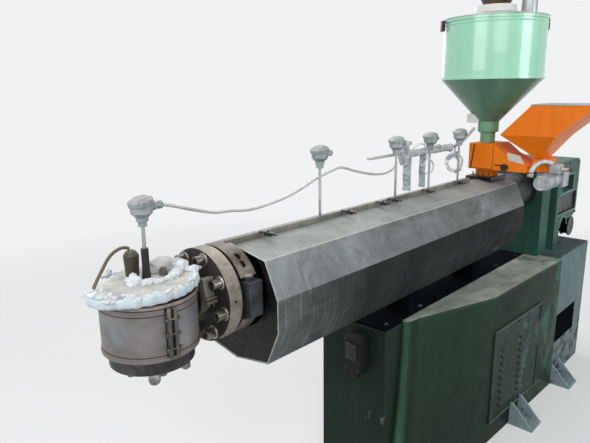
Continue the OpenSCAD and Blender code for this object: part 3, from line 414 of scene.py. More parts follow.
def braid(name, s):
    # crossed wire strands from the tube's own UV
    mat, tree = newMaterial(name, s["metallic"], s["rough"])
    ways = []
    for turn in (45, -45):
        wave = tree.nodes.new("ShaderNodeTexWave")
        wave.bands_direction = "X"
        wave.inputs["Scale"].default_value, wave.inputs["Distortion"].default_value = 1.3, 0.15
        tree.links.new(coords(tree, (1, 1, 1), (0, 0, turn), "UV"), wave.inputs["Vector"])
        ways.append(wave.outputs["Fac"])
    over = calc(tree, "MAXIMUM", *ways)
    colour = ramp(tree, over, [(0.35, s["dark"]), (0.80, s["colour"])])
    colour = stained(tree, colour, s["dark"], grain(tree, coords(tree), 16, 6, 0.65), 0.45, 0.72, 0.55)
    return dressed(mat, {"Base Color": colour}, [(over, 0.5, 0.0006)])


def coverSheet(name, s):
    # dull galvanised folds: painted highlights on the front edge and the fold lines, painted shade on the low sides,
    # drips near the front
    mat, tree = newMaterial(name, s["metallic"], s["rough"], 0.0, 0.25)
    at = coords(tree)
    cloud = grain(tree, at, 4.5, 8, 0.66, 0.8)
    colour = ramp(tree, cloud, [(0.30, s["stain"]), (0.50, s["colour"]), (0.72, s["light"])])
    wearAndHighlight = grain(tree, coords(tree, (2.2, 26, 26)), 1.0, 6, 0.62, 0.3)
    colour = stained(tree, colour, s["light"], wearAndHighlight, 0.50, 0.74, 0.6)
    colour = stained(tree, colour, s["stain"], grain(tree, at, 15, 8, 0.74, 0.4), 0.50, 0.66, 0.55)
    facing, along = axisOf(tree, "Z", "Normal"), axisOf(tree, "X")
    dusty = times(tree, span(tree, facing, 0.93, 0.98, 0.0, s["dustTop"]), drifts(tree, at, 6, 8, 0.7, 0.45))
    colour = mix(tree, dusty, colour, s["dust"])
    # painted shade: the low sides are darkened, less so towards the front
    low = times(tree, span(tree, facing, 0.0, 0.60, s["sideShade"], 0.0),
                span(tree, along, coverFrontX, coverFrontX + 0.40, 0.62, 1.0))
    low = times(tree, low, span(tree, grain(tree, at, 3, 5), 0.3, 0.7, 0.93, 1.0))
    colour = mix(tree, low, colour, s["under"])
    drips = ramp(tree, grain(tree, coords(tree, (85, 5, 5)), 1.0, 7, 0.72), [(0.54, 0.0), (0.68, 1.0)])
    drips = times(tree, drips, span(tree, along, coverFrontX, coverFrontX + 0.42, s["drips"], 0.0))
    drips = times(tree, drips, span(tree, facing, 0.85, 0.95, 1.0, 0.2))
    colour = mix(tree, drips, colour, s["edge"])
    scratches = grain(tree, coords(tree, (4, 60, 60), (0, 14, 8)), 1.0, 3, 0.5)
    scratches = ramp(tree, scratches, [(0.70, 0.0), (0.73, 0.35)])
    colour = mix(tree, scratches, colour, s["light"])
    # painted highlights on the fold lines and on the front edge, broken up by noise
    highlightPatchiness = span(tree, grain(tree, at, 30, 5, 0.7), 0.32, 0.62, 0.45, 1.0)
    foldHighlight = calc(tree, "MAXIMUM", *(between(tree, facing, *edges) for edges in s["foldHighlightBands"]))
    colour = mix(tree, times(tree, times(tree, foldHighlight, highlightPatchiness), 0.8), colour, s["edge"])
    # painted highlight on the faces that look forward, the sheet's front edge
    front = span(tree, axisOf(tree, "X", "Normal"), -0.85, -0.6, 1.0, 0.0)
    rough = span(tree, grain(tree, at, 18, 7, 0.65), 0.3, 0.72, s["rough"] - 0.10, s["rough"] + 0.14)
    bare = calc(tree, "SUBTRACT", span(tree, dusty, 0.0, 1.0, 1.0, 0.2), low, True)
    values = {"Base Color": mix(tree, times(tree, front, highlightPatchiness), colour, s["edge"]),
              "Roughness": calc(tree, "ADD", rough, times(tree, dusty, 0.3), True),
              "Metallic": times(tree, bare, s["metallic"]),
              "Specular IOR Level": span(tree, low, 0.0, 1.0, 0.30, 0.06)}
    return dressed(mat, values, [(grain(tree, at, 240, 3, 0.6), 0.14, 0.0006), (cloud, 0.18, 0.004),
                                 (grain(tree, at, 2.6, 2), 0.25, 0.012), (scratches, 0.2, -0.0003)])


def stainedBand(name, s):
    # heater band sheet: mauve-grey, blue-grey heat cloud in the middle, darker rims, specks
    mat, tree = newMaterial(name, 0.45, 0.46)
    at = coords(tree)
    colour = ramp(tree, grain(tree, at, 9, 7, 0.6, 0.3), [(0.3, s["dark"]), (0.55, s["colour"]), (0.75, s["light"])])
    cloud = ramp(tree, grain(tree, coords(tree, (1, 1, 1.4)), 13, 6, 0.62, 0.7), [(0.46, 0.0), (0.62, 0.85)])
    height = axisOf(tree, "Z")
    middle = between(tree, height, bandLow + 0.02, bandLow + 0.055, bandHigh - 0.045, bandHigh - 0.015)
    colour = mix(tree, times(tree, cloud, middle), colour, s["blue"])
    ends = calc(tree, "MAXIMUM", span(tree, height, bandLow, bandLow + 0.03, 0.7, 0.0),
                span(tree, height, bandHigh - 0.02, bandHigh, 0.0, 0.55))
    colour = mix(tree, ends, colour, s["rim"])
    colour = stained(tree, colour, s["dark"], grain(tree, at, 95, 5, 0.72), 0.60, 0.70, 0.6)
    return dressed(mat, {"Base Color": colour, "Roughness": span(tree, cloud, 0, 1, 0.52, 0.36)}, [
        (grain(tree, at, 190, 4, 0.6), 0.12, 0.0006), (grain(tree, at, 12, 4), 0.25, 0.003)])


def fibre(name, s):
    # torn ceramic wool: sooty flat skin on top, clean pale pulp at the edges and in the clumps, with a painted bluish
    # daylight tint
    mat, tree = newMaterial(name, 0.0, 0.95)
    tree.nodes["Principled BSDF"].inputs["Sheen Weight"].default_value = 0.35
    at = coords(tree)
    skin = ramp(tree, grain(tree, at, 26, 7, 0.66, 0.5), [(0.34, s["soot"]), (0.55, s["skin"]), (0.75, s["pale"])])
    flat = span(tree, axisOf(tree, "Z", "Normal"), 0.80, 0.97)
    colour = mix(tree, times(tree, flat, s["flat"]), s["pulpAndDaylightTint"], skin)
    colour = stained(tree, colour, s["soot"], grain(tree, at, 70, 6, 0.7), 0.60, 0.72, 0.5)
    threads = grain(tree, coords(tree, (1, 1, 2.5), (20, 35, 0)), 340, 6, 0.75, 1.6)
    return dressed(mat, {"Base Color": colour}, [
        (grain(tree, at, 85, 8, 0.72, 0.8), 0.75, 0.006), (threads, 0.5, 0.0015)])


def tape(name, s):
    # cloth tape wound round a tube: overlapping turns from the tube's own UV
    mat, tree = newMaterial(name, 0.0, s["rough"])
    at = coords(tree)
    across, down = axisOf(tree, "X", "UV"), axisOf(tree, "Y", "UV")
    turn = calc(tree, "FRACT", calc(tree, "ADD", times(tree, down, s["turns"]), across))
    colour = ramp(tree, grain(tree, at, 60, 6, 0.66), [(0.34, s["dark"]), (0.6, s["colour"]), (0.78, s["light"])])
    colour = mix(tree, ramp(tree, turn, [(0.0, 0.75), (0.16, 0.0), (0.86, 0.0)]), colour, s["dark"])
    return dressed(mat, {"Base Color": colour}, [(turn, 0.6, 0.0018), (grain(tree, at, 260, 5, 0.7), 0.35, 0.001)])


darkGreen = {"colour": (0.010, 0.022, 0.014), "faded": (0.018, 0.039, 0.025), "grime": (0.006, 0.010, 0.007),
             "runs": 0.30, "dust": (0.40, 0.44, 0.38), "dustTop": 1.0, "chips": 0.70, "primer": (0.10, 0.14, 0.125),
             "rough": 0.42, "gloss": 0.10}
metals = {
    "coverSteel": coverSheet("cover_steel_sheet", {
        "colour": (0.27, 0.295, 0.300), "light": (0.44, 0.475, 0.48), "stain": (0.15, 0.155, 0.15), "rough": 0.50,
        # the low sides get painted shade; edge is the colour of the painted highlights and the drips
        "metallic": 0.25, "dustTop": 0.55, "dust": (0.30, 0.30, 0.265), "sideShade": 1.0,
        "under": (0.006, 0.009, 0.008), "drips": 0.45, "edge": (0.52, 0.54, 0.52),
        "foldHighlightBands": ((0.42, 0.48, 0.94, 0.975), (0.03, 0.08, 0.33, 0.39))}),  # how far up the fold lines face
    "barSteel": steel("ridge_bar_steel", {
        "colour": (0.25, 0.23, 0.20), "light": (0.42, 0.39, 0.34), "stain": (0.075, 0.068, 0.06), "rough": 0.55,
        "metallic": 0.35, "dustTop": 0.6, "dust": (0.36, 0.32, 0.26)}),
    "darkIron": iron("oily_dark_iron", {
        "colour": (0.030, 0.029, 0.028), "dark": (0.008, 0.008, 0.008), "light": (0.11, 0.10, 0.09),
        "rough": 0.46, "oil": 0.7}),
    "flangeIron": iron("oxidised_flange_iron", {
        "colour": (0.340, 0.295, 0.245), "dark": (0.115, 0.095, 0.076), "light": (0.54, 0.48, 0.41),
        "rough": 0.5, "oil": 0.3, "patch": 9, "metallic": 0.3, "face": (0.022, 0.020, 0.018)}),
    "ringIron": iron("clamp_ring_iron", {
        "colour": (0.225, 0.197, 0.158), "dark": (0.060, 0.052, 0.043), "light": (0.43, 0.39, 0.33),
        "rough": 0.48, "oil": 0.4, "patch": 12, "metallic": 0.3, "face": (0.022, 0.021, 0.020)}),
    "blockIron": iron("clamp_block_iron", {
        "colour": (0.044, 0.048, 0.053), "dark": (0.015, 0.015, 0.016), "light": (0.12, 0.123, 0.127),
        "rough": 0.46, "oil": 0.3}),
    "lipCopper": iron("band_lip_copper", {
        "colour": (0.40, 0.31, 0.285), "dark": (0.21, 0.165, 0.150), "light": (0.46, 0.37, 0.34),
        "rough": 0.45, "oil": 0.2, "skin": 0.15, "rust": 0.1, "patch": 18}),
    "bandDark": iron("die_flange_iron", {
        "colour": (0.056, 0.055, 0.057), "dark": (0.022, 0.022, 0.022), "light": (0.14, 0.135, 0.132),
        "rough": 0.42, "oil": 0.4, "skin": 0.2}),
    "clampSteel": iron("band_clamp_steel", {
        "colour": (0.17, 0.155, 0.14), "dark": (0.05, 0.045, 0.04), "light": (0.40, 0.37, 0.33),
        "rough": 0.40, "oil": 0.35, "skin": 0.2}),
    "boltSteel": iron("bolt_steel", {
        "colour": (0.19, 0.172, 0.15), "dark": (0.040, 0.036, 0.031), "light": (0.55, 0.51, 0.45),
        "rough": 0.34, "oil": 0.4, "metallic": 0.7, "skin": 0.15}),
    "washerSteel": iron("washer_steel", {
        "colour": (0.42, 0.39, 0.35), "dark": (0.12, 0.11, 0.095), "light": (0.72, 0.69, 0.63),
        "rough": 0.32, "oil": 0.25, "metallic": 0.7, "skin": 0.1}),
    "outletSteel": iron("outlet_steel", {
        "colour": (0.30, 0.29, 0.27), "dark": (0.05, 0.05, 0.045), "light": (0.85, 0.85, 0.82),
        "rough": 0.22, "oil": 0.6, "metallic": 0.9, "skin": 0.4}),
    "sensorSteel": steel("sensor_stem_steel", {
        "colour": (0.42, 0.44, 0.46), "light": (0.72, 0.75, 0.78), "stain": (0.20, 0.19, 0.18), "rough": 0.30,
        "runs": 0.3}),
    "castAlloy": steel("sensor_head_casting", {
        "colour": (0.30, 0.335, 0.35), "light": (0.45, 0.49, 0.50), "stain": (0.20, 0.21, 0.21), "rough": 0.42,
        "metallic": 0.45, "dustTop": 0.75, "dust": (0.34, 0.325, 0.28), "pit": 420, "pitting": 0.15, "patch": 18,
        "marks": 0.1, "runs": 0.25}),
    "ductAlloy": steel("duct_foil", {
        "colour": (0.56, 0.61, 0.63), "light": (0.82, 0.86, 0.88), "stain": (0.32, 0.34, 0.35), "rough": 0.34,
        "metallic": 0.2, "dustTop": 0.1, "pit": 300, "pitting": 0.3, "patch": 30}),
    "motorAlloy": steel("motor_casting", {
        "colour": (0.40, 0.43, 0.45), "light": (0.66, 0.70, 0.72), "stain": (0.19, 0.19, 0.19), "rough": 0.40,
        "metallic": 0.35, "pit": 300, "pitting": 0.25, "patch": 22}),
    "lidSteel": steel("hopper_lid_steel", {
        "colour": (0.38, 0.39, 0.39), "light": (0.56, 0.57, 0.57), "stain": (0.22, 0.22, 0.22), "rough": 0.4,
        "dustTop": 0.35, "metallic": 0.5}),
}
paints = {
    # a darker copy of the dark green: painted shade on the base frame and the far side sheet
    "shadedBaseGreen": paint("base_green_painted_shade", {**darkGreen, "colour": (0.008, 0.018, 0.012),
                                            "faded": (0.015, 0.032, 0.021)}),
    "shelfGreen": paint("cover_green_paint", {**darkGreen, "chips": 0.67, "scratches": 0.4,
                                              "rear": (0.045, 0.125, 0.095), "rearFrom": -0.45,
                                              # this colour is a painted highlight on the rounded front corner
                                              "corner": (0.050, 0.120, 0.070)}),
    "panelGreen": paint("panel_green_paint", {**darkGreen, "colour": (0.018, 0.036, 0.030),
                                              "faded": (0.036, 0.062, 0.054), "dust": (0.085, 0.115, 0.105),
                                              "runs": 0.65, "chips": 0.62,
                                              "rear": (0.085, 0.155, 0.150), "rearFrom": -0.62}),
    "trimGreen": paint("panel_edge_paint", {**darkGreen, "colour": (0.065, 0.110, 0.095), "faded": (0.12, 0.17, 0.155),
                                            "chips": 0.62, "runs": 0.7}),
    # near black: painted shade on the deck under the cover, the barrel stands and the slats inside the vent
    "deckPaintedShade": paint("deck_paint_darkened_as_shade", {
        "colour": (0.004, 0.005, 0.007), "faded": (0.008, 0.010, 0.013), "grime": (0.002, 0.003, 0.004), "gloss": 0.0,
        "runs": 0.3, "dust": (0.014, 0.017, 0.020), "dustTop": 0.5, "chips": 0.76, "primer": (0.06, 0.065, 0.07),
        "rough": 0.45}),
    # its dust colour is darker than the paint, so what faces up renders darker
    "cabinetBlue": paint("cabinet_blue_paint", {
        "colour": (0.120, 0.195, 0.202), "faded": (0.185, 0.265, 0.270), "grime": (0.045, 0.062, 0.060), "runs": 0.6,
        "dust": (0.028, 0.048, 0.048), "dustTop": 0.85, "chips": 0.545, "primer": (0.050, 0.062, 0.060), "rough": 0.5,
        "chipSize": 7, "gloss": 0.2}),
    "feetBlue": paint("feet_blue_paint", {
        "colour": (0.24, 0.34, 0.37), "faded": (0.36, 0.45, 0.48), "grime": (0.12, 0.12, 0.11), "runs": 0.5,
        "dust": (0.30, 0.29, 0.26), "dustTop": 0.4, "chips": 0.57, "primer": (0.09, 0.085, 0.08), "rough": 0.5}),
    "columnGreen": paint("column_green_paint", {**darkGreen, "colour": (0.030, 0.098, 0.074),
                                                "faded": (0.050, 0.140, 0.108), "chips": 0.72}),
    "gearGreen": paint("gear_green_paint", {
        "colour": (0.028, 0.094, 0.075), "faded": (0.054, 0.144, 0.120), "grime": (0.012, 0.032, 0.027), "runs": 0.5,
        "gloss": 0.15, "dust": (0.20, 0.26, 0.23), "dustTop": 0.6, "chips": 0.59, "primer": (0.055, 0.075, 0.070),
        "rough": 0.42}),
    "rimGreen": paint("guard_rim_paint", {
        "colour": (0.135, 0.30, 0.25), "faded": (0.20, 0.38, 0.33), "grime": (0.04, 0.09, 0.075), "runs": 0.4,
        "dust": (0.3, 0.34, 0.31), "dustTop": 0.5, "chips": 0.64, "primer": (0.07, 0.09, 0.085), "rough": 0.42}),
    "boxGrey": paint("socket_box_paint", {
        "colour": (0.014, 0.017, 0.015), "faded": (0.026, 0.030, 0.027), "grime": (0.012, 0.014, 0.013), "runs": 0.4,
        "dust": (0.05, 0.05, 0.045), "dustTop": 0.5, "chips": 0.74, "primer": (0.10, 0.10, 0.095), "rough": 0.5,
        "gloss": 0.1}),
    "orange": paint("doser_orange_paint", {
        "colour": (0.93, 0.190, 0.004), "faded": (0.95, 0.240, 0.012), "grime": (0.36, 0.070, 0.006), "runs": 0.20,
        "dust": (0.70, 0.28, 0.09), "dustTop": 0.25, "chips": 0.78, "primer": (0.25, 0.20, 0.16), "rough": 0.40,
        "gloss": 0.2, "spots": 0.12, "scratches": 0.1}),
    "hopperMint": paint("hopper_mint_paint", {
        "colour": (0.330, 0.700, 0.470), "faded": (0.370, 0.755, 0.540), "grime": (0.15, 0.36, 0.24), "runs": 0.20,
        "dust": (0.42, 0.55, 0.44), "dustTop": 0.3, "chips": 0.80, "primer": (0.30, 0.36, 0.32), "rough": 0.30,
        "spots": 0.10, "scratches": 0.05, "coat": 0.6, "gloss": 0.7, "wave": 0.03}),
    "neckGreen": paint("hopper_neck_paint", {
        "colour": (0.165, 0.345, 0.205), "faded": (0.210, 0.405, 0.255), "grime": (0.06, 0.13, 0.08), "runs": 0.3,
        "dust": (0.25, 0.34, 0.27), "dustTop": 0.35, "chips": 0.79, "primer": (0.22, 0.27, 0.24), "rough": 0.34,
        "spots": 0.15, "scratches": 0.1}),
    "coneGreen": paint("hopper_cone_paint", {
        "colour": (0.095, 0.215, 0.140), "faded": (0.125, 0.262, 0.178), "grime": (0.045, 0.105, 0.07), "runs": 0.25,
        "dust": (0.24, 0.33, 0.27), "dustTop": 0.3, "chips": 0.80, "primer": (0.20, 0.26, 0.22), "rough": 0.30,
        "spots": 0.10, "scratches": 0.08, "coat": 0.3}),
}
plastics = {
    "black": plastic("black_plastic", {"colour": (0.010, 0.010, 0.010), "light": (0.025, 0.025, 0.025), "rough": 0.42}),
    # dark joints, and painted shadow in the seams between the die band's strips
    "seam": plastic("dark_joints_and_shadow_seams", {"colour": (0.020, 0.012, 0.008), "light": (0.045, 0.026, 0.016),
                                           "rough": 0.7, "dustTop": 0.1}),
    "whitePlate": plastic("white_plate", {"colour": (0.60, 0.58, 0.50), "light": (0.76, 0.74, 0.66), "rough": 0.5,
                                          "dustTop": 0.15}),
    "white": plastic("loader_white_plastic", {"colour": (0.70, 0.70, 0.67), "light": (0.80, 0.80, 0.78),
                                              "rough": 0.4, "dustTop": 0.15}),
    "brown": plastic("smoked_brown_plastic", {"colour": (0.070, 0.038, 0.024), "light": (0.13, 0.075, 0.05),
                                              "rough": 0.22, "dustTop": 0.2}),
    "plugBrown": plastic("plug_brown_rubber", {"colour": (0.034, 0.028, 0.020), "light": (0.095, 0.080, 0.058),
                                               "rough": 0.5, "dustTop": 0.55}),
    "pink": plastic("pink_knob", {"colour": (0.46, 0.19, 0.15), "light": (0.60, 0.30, 0.24), "rough": 0.4}),
}
fabrics = {
    # the pale pulp colours carry a painted bluish daylight tint
    "blanket": fibre("torn_fibre_blanket", {"soot": (0.33, 0.31, 0.28), "skin": (0.62, 0.605, 0.56),
                                            "pale": (0.76, 0.75, 0.71), "pulpAndDaylightTint": (0.74, 0.83, 0.90), "flat": 0.95}),
    "tufts": fibre("fibre_tufts", {"soot": (0.50, 0.48, 0.46), "skin": (0.82, 0.81, 0.80), "pale": (0.88, 0.88, 0.87),
                                   "pulpAndDaylightTint": (0.82, 0.86, 0.89), "flat": 0.5}),
    "mound": fibre("fibre_mound", {"soot": (0.30, 0.29, 0.275), "skin": (0.50, 0.49, 0.47), "pale": (0.66, 0.65, 0.63),
                                   "pulpAndDaylightTint": (0.56, 0.57, 0.57), "flat": 0.6}),
    "stemTape": tape("stem_tape", {"colour": (0.50, 0.58, 0.62), "dark": (0.26, 0.31, 0.34),
                                   "light": (0.66, 0.72, 0.75), "turns": 3.0, "rough": 0.55}),
    "lumpTape": tape("lump_tape", {"colour": (0.68, 0.73, 0.75), "dark": (0.34, 0.38, 0.40),
                                   "light": (0.80, 0.84, 0.86), "turns": 3.6, "rough": 0.32}),
    "leadBraid": braid("lead_wire_braid", {"colour": (0.70, 0.71, 0.68), "dark": (0.36, 0.36, 0.34), "rough": 0.42,
                                           "metallic": 0.3}),
    "conduitBraid": braid("plug_lead_braid", {"colour": (0.20, 0.155, 0.11), "dark": (0.08, 0.060, 0.045), "rough": 0.6,
                                              "metallic": 0.0}),
}
print("materials made")

# the photograph's view
cameraSettings = {"place": (-2.720, -1.12065, 1.57195), "pitch": 13.3, "yaw": 43.6, "roll": -0.75, "lens": 33.559}


def makeCamera(s):
    pitch, yaw, roll = (math.radians(s[k]) for k in ("pitch", "yaw", "roll"))
    ahead = Vector((math.cos(yaw) * math.cos(pitch), math.sin(yaw) * math.cos(pitch), -math.sin(pitch)))
    right = Vector((math.sin(yaw), -math.cos(yaw), 0))
    up = right.cross(ahead)
    tilted = math.cos(roll) * right + math.sin(roll) * up
    upright = math.cos(roll) * up - math.sin(roll) * right
    data = bpy.data.cameras.new("camera")
    data.lens, data.sensor_width = s["lens"], 36
    data.clip_start, data.clip_end = 0.05, 60
    camera = bpy.data.objects.new("camera", data)
    place = Matrix((tilted, upright, -ahead)).transposed().to_4x4()
    place.translation = s["place"]
    camera.matrix_world = place
    bpy.context.scene.collection.objects.link(camera)
    bpy.context.scene.camera = camera


makeCamera(cameraSettings)

sensorLead = {"diameter": 0.009, "route": [
    (-2.006, 0, 1.314), (-1.990, 0, 1.310), (-1.961, .002, 1.301), (-1.909, .006, 1.284), (-1.839, .010, 1.265),
    (-1.785, .012, 1.260), (-1.712, .014, 1.251), (-1.633, .016, 1.255), (-1.548, .020, 1.266),
    (-1.470, .025, 1.284), (-1.411, .028, 1.302), (-1.360, .028, 1.313), (-1.299, .027, 1.324),
    (-1.260, .027, 1.317), (-1.218, .027, 1.305), (-1.160, .029, 1.291), (-1.108, .031, 1.280),
    (-1.060, .033, 1.274), (-1.014, .035, 1.273), (-.972, .038, 1.279), (-.946, .041, 1.291), (-.931, .042, 1.300)]}
plugLead = {"diameter": 0.008, "route": [
    (-2.077, .042, 1.212), (-2.089, .042, 1.216), (-2.104, .040, 1.216), (-2.124, .034, 1.211),
    (-2.143, .025, 1.201), (-2.164, .014, 1.183), (-2.180, .010, 1.164), (-2.190, .009, 1.148)]}


def makeCord(s, name, material, node):
    line = smoothRoute(s["route"], 5)
    cord = tube(line, s["diameter"] / 2, name, material)
    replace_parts(cord, node)


makeCord(sensorLead, "sensor_lead_braid", fabrics["leadBraid"], "sensor_lead")
makeCord(plugLead, "plug_lead_braid", fabrics["conduitBraid"], "bulb_conduit")
print("camera and cords made")

finishes = {
    "base_frame": paints["shadedBaseGreen"], "deck_plate": paints["deckPaintedShade"], "near_cover": paints["shelfGreen"],
    "far_side_sheet": paints["shadedBaseGreen"], "access_panel": paints["panelGreen"], "anchor_feet": paints["feetBlue"],
    "socket_box": paints["boxGrey"], "drive_cabinet": paints["cabinetBlue"], "cabinet_top": paints["cabinetBlue"],
    "thrust_column": paints["columnGreen"], "gear_case": paints["gearGreen"], "guard_panel": paints["gearGreen"],
    "guard_plate": metals["darkIron"], "belt_pulley": metals["darkIron"], "feed_section": metals["darkIron"],
    "barrel": metals["darkIron"], "cover_near_half": metals["coverSteel"], "cover_far_half": metals["coverSteel"],
    "cover_end_plates": metals["darkIron"], "ridge_bar": metals["barSteel"], "ridge_clips": plastics["black"],
    "barrel_stands": paints["deckPaintedShade"], "barrel_flange": metals["flangeIron"],
    "clamp_ring_upper": metals["ringIron"], "clamp_ring_lower": metals["ringIron"],
    "clamp_bolts": metals["blockIron"], "head_bolts": metals["boltSteel"], "head_adapter": metals["darkIron"],
    "adapter_heater": metals["clampSteel"], "die_body": metals["bandDark"],
    "die_heater_band": stainedBand("heater_band_sheet", {
        "colour": (0.255, 0.235, 0.232), "dark": (0.135, 0.122, 0.118), "light": (0.33, 0.31, 0.305),
        "blue": (0.225, 0.255, 0.300), "rim": (0.215, 0.182, 0.175)}),
    "band_clamp": metals["clampSteel"], "die_top_ring": metals["bandDark"], "die_nozzle": metals["boltSteel"],
    "bulb_plug": plastics["plugBrown"], "sensor_stems": metals["sensorSteel"], "sensor_heads": metals["castAlloy"],
    "lead_duct": metals["ductAlloy"], "lead_wraps": fabrics["stemTape"], "level_sensor": plastics["white"],
    "doser_housing": paints["orange"], "doser_flange": metals["darkIron"], "doser_plate": plastics["whitePlate"],
    "doser_knob": plastics["black"], "doser_hopper": paints["orange"], "doser_hopper_lid": metals["lidSteel"],
    "doser_motor": metals["motorAlloy"], "motor_terminal_box": metals["motorAlloy"],
    "hopper_neck": paints["neckGreen"], "hopper_cone": paints["coneGreen"], "hopper_drum": paints["hopperMint"],
    "hopper_lid": metals["lidSteel"], "hopper_clips": plastics["black"], "loader_base": plastics["white"],
    "loader_body": plastics["brown"], "loader_duct": metals["lidSteel"], "insulation_blanket": fabrics["blanket"],
}
for node, finish in finishes.items():
    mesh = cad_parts[node].data
    mesh.materials.clear()
    mesh.materials.append(finish)

easing = {
    "weld": 2e-5, "flat": 0.6, "sharpFrom": 28, "steps": 2, "shade": 40,  # metres, degrees, degrees, rows, degrees
    "widths": {
        "cover_near_half": 0.0024, "cover_far_half": 0.0024, "ridge_bar": 0.0012, "base_frame": 0.003,
        "deck_plate": 0.002, "drive_cabinet": 0.0022, "cabinet_top": 0.0025, "thrust_column": 0.003,
        "gear_case": 0.003, "guard_panel": 0.0022, "guard_plate": 0.001, "barrel_flange": 0.0025,
        "clamp_ring_upper": 0.0022, "clamp_ring_lower": 0.0022, "clamp_bolts": 0.0016, "doser_housing": 0.0022,
        "doser_hopper": 0.0011, "motor_terminal_box": 0.006, "socket_box": 0.004, "anchor_feet": 0.0015,
        "hopper_neck": 0.0014, "access_panel": 0.0012, "die_body": 0.0025, "die_heater_band": 0.0012,
        "doser_motor": 0.002, "doser_plate": 0.001, "doser_hopper_lid": 0.001, "hopper_lid": 0.002, "near_cover": 0,
        "hopper_drum": 0, "hopper_cone": 0, "bulb_plug": 0.0012, "sensor_heads": 0.0008, "lead_duct": 0.002,
        "level_sensor": 0.002, "belt_pulley": 0.001, "die_top_ring": 0.0015, "cover_end_plates": 0.001,
    },
}


def softened(s, node, width):
    # a node with its corners eased, so that they catch the light
    bm = bmesh.new()
    bm.from_mesh(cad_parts[node].data)
    bmesh.ops.remove_doubles(bm, verts=bm.verts, dist=s["weld"])
    if width:
        bmesh.ops.dissolve_limit(bm, angle_limit=math.radians(s["flat"]), verts=bm.verts, edges=bm.edges)
        edges = [e for e in bm.edges if e.is_manifold and e.calc_face_angle(0) > math.radians(s["sharpFrom"])]
        bmesh.ops.bevel(bm, geom=edges, offset=width, segments=s["steps"], affect="EDGES", profile=0.5,
                        material=-1, clamp_overlap=True)
    piece = toMesh(bm, node + "_eased", finishes[node], s["shade"])
    if width:
        piece.modifiers.new("weighted_normals", "WEIGHTED_NORMAL").keep_sharp = True
    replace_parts(piece, node)


for node, width in easing["widths"].items():
    softened(easing, node, width)
print("nodes finished")

# torn insulation blanket on the die: outline as angle in degrees and reach from the stem, lobes as place, width and
# height, tufts and mounds as place, size and turn; the rim's tufts and the crumbs round each tuft fall at random
blanket = {
    "bottom": 1.1264, "thick": 0.0150, "hole": 0.010, "curl": 0.006, "steps": 168, "rings": 13, "inner": 0.06,
    "tears": ((0.006, 7), (0.0035, 19), (0.0018, 55)),  # depth and closeness of the torn outline's waves
    "outline": [(-180, .150), (-165, .151), (-152, .143), (-138, .135), (-122, .128), (-110, .123), (-91, .119),
                (-75, .117), (-53, .117), (-35, .119), (-15, .123), (5, .121), (30, .116), (50, .104), (71, .090),
                (95, .092), (108, .100), (120, .083), (136, .086), (150, .103), (167, .124), (180, .149)],
    "ringEdge": 0.098, "droopTo": 0.018, "droop": (0.30, 0.16),
    "lobes": [(-2.192, -0.022, 0.030, 0.011), (-2.165, -0.070, 0.026, 0.006), (-1.955, -0.040, 0.028, 0.007)],
    "tufts": [((-2.101, -.012, 1.146), (.016, .022, .014), 20), ((-2.078, -.030, 1.144), (.018, .014, .007), -30),
              ((-2.092, .006, 1.152), (.011, .009, .010), 60), ((-2.112, .088, 1.146), (.015, .006, .010), 35),
              ((-2.058, -.043, 1.143), (.013, .010, .006), 10), ((-1.998, -.030, 1.146), (.026, .014, .009), 35),
              ((-1.968, -.012, 1.153), (.018, .018, .014), 10), ((-2.024, -.040, 1.142), (.015, .010, .005), 70),
              ((-1.950, -.032, 1.145), (.018, .013, .009), -20), ((-2.197, -.020, 1.140), (.015, .020, .008), 0),
              ((-2.182, -.058, 1.137), (.018, .014, .007), 30), ((-2.160, -.082, 1.136), (.016, .010, .006), -50)],
    "mounds": [((-1.992, .040, 1.147), (.040, .034, .022), 0), ((-1.962, .018, 1.148), (.024, .028, .017), 30),
               ((-2.020, .036, 1.144), (.022, .024, .014), 0)],
    "crumbs": 4, "crumbSize": (.003, .0065), "crumbZ": 1.1425,
    "rimTufts": 22, "rimZ": 1.138, "rimFrom": -188, "rimSweep": 190,
    "rimReach": ((-150, 0.150), (-125, 0.130), (180, 0.113)),  # up to an angle, how far out
}


def reachAt(outline, angle):
    for (a0, r0), (a1, r1) in zip(outline, outline[1:]):
        if a0 <= angle <= a1:
            mixed = (angle - a0) / (a1 - a0)
            return r0 + (r1 - r0) * mixed * mixed * (3 - 2 * mixed)


def makeTufts(s, bm):
    for k, (at, size, turn) in enumerate(s["tufts"]):
        blob(bm, at, size, k + 2, 1.0, turn)
        for n in range(s["crumbs"]):
            spot = Vector(at) + Vector([random.uniform(-1.15, 1.15) * size[i] for i in (0, 1)] + [0])
            spot.z = s["crumbZ"] + random.uniform(0, 0.7) * size[2]
            blob(bm, spot, [random.uniform(*s["crumbSize"]) for i in range(3)], 60 + 9 * k + n, 1.2, 0, 3)
    for k in range(s["rimTufts"]):
        a = math.radians(s["rimFrom"] + s["rimSweep"] * k / s["rimTufts"] + random.uniform(-4, 4))
        far = next(reach for past, reach in s["rimReach"] if a < math.radians(past))
        size = (random.uniform(.007, .015), random.uniform(.005, .008), random.uniform(.004, .007))
        at = (dieX + far * math.cos(a), far * math.sin(a), s["rimZ"] + random.uniform(-.003, .006))
        blob(bm, at, size, k + 20, 1.0, math.degrees(a) + 90 + random.uniform(-25, 25), 3)


def makeMounds(s, bm):
    for k, (at, size, turn) in enumerate(s["mounds"]):
        blob(bm, at, size, k + 2, 0.6, turn)


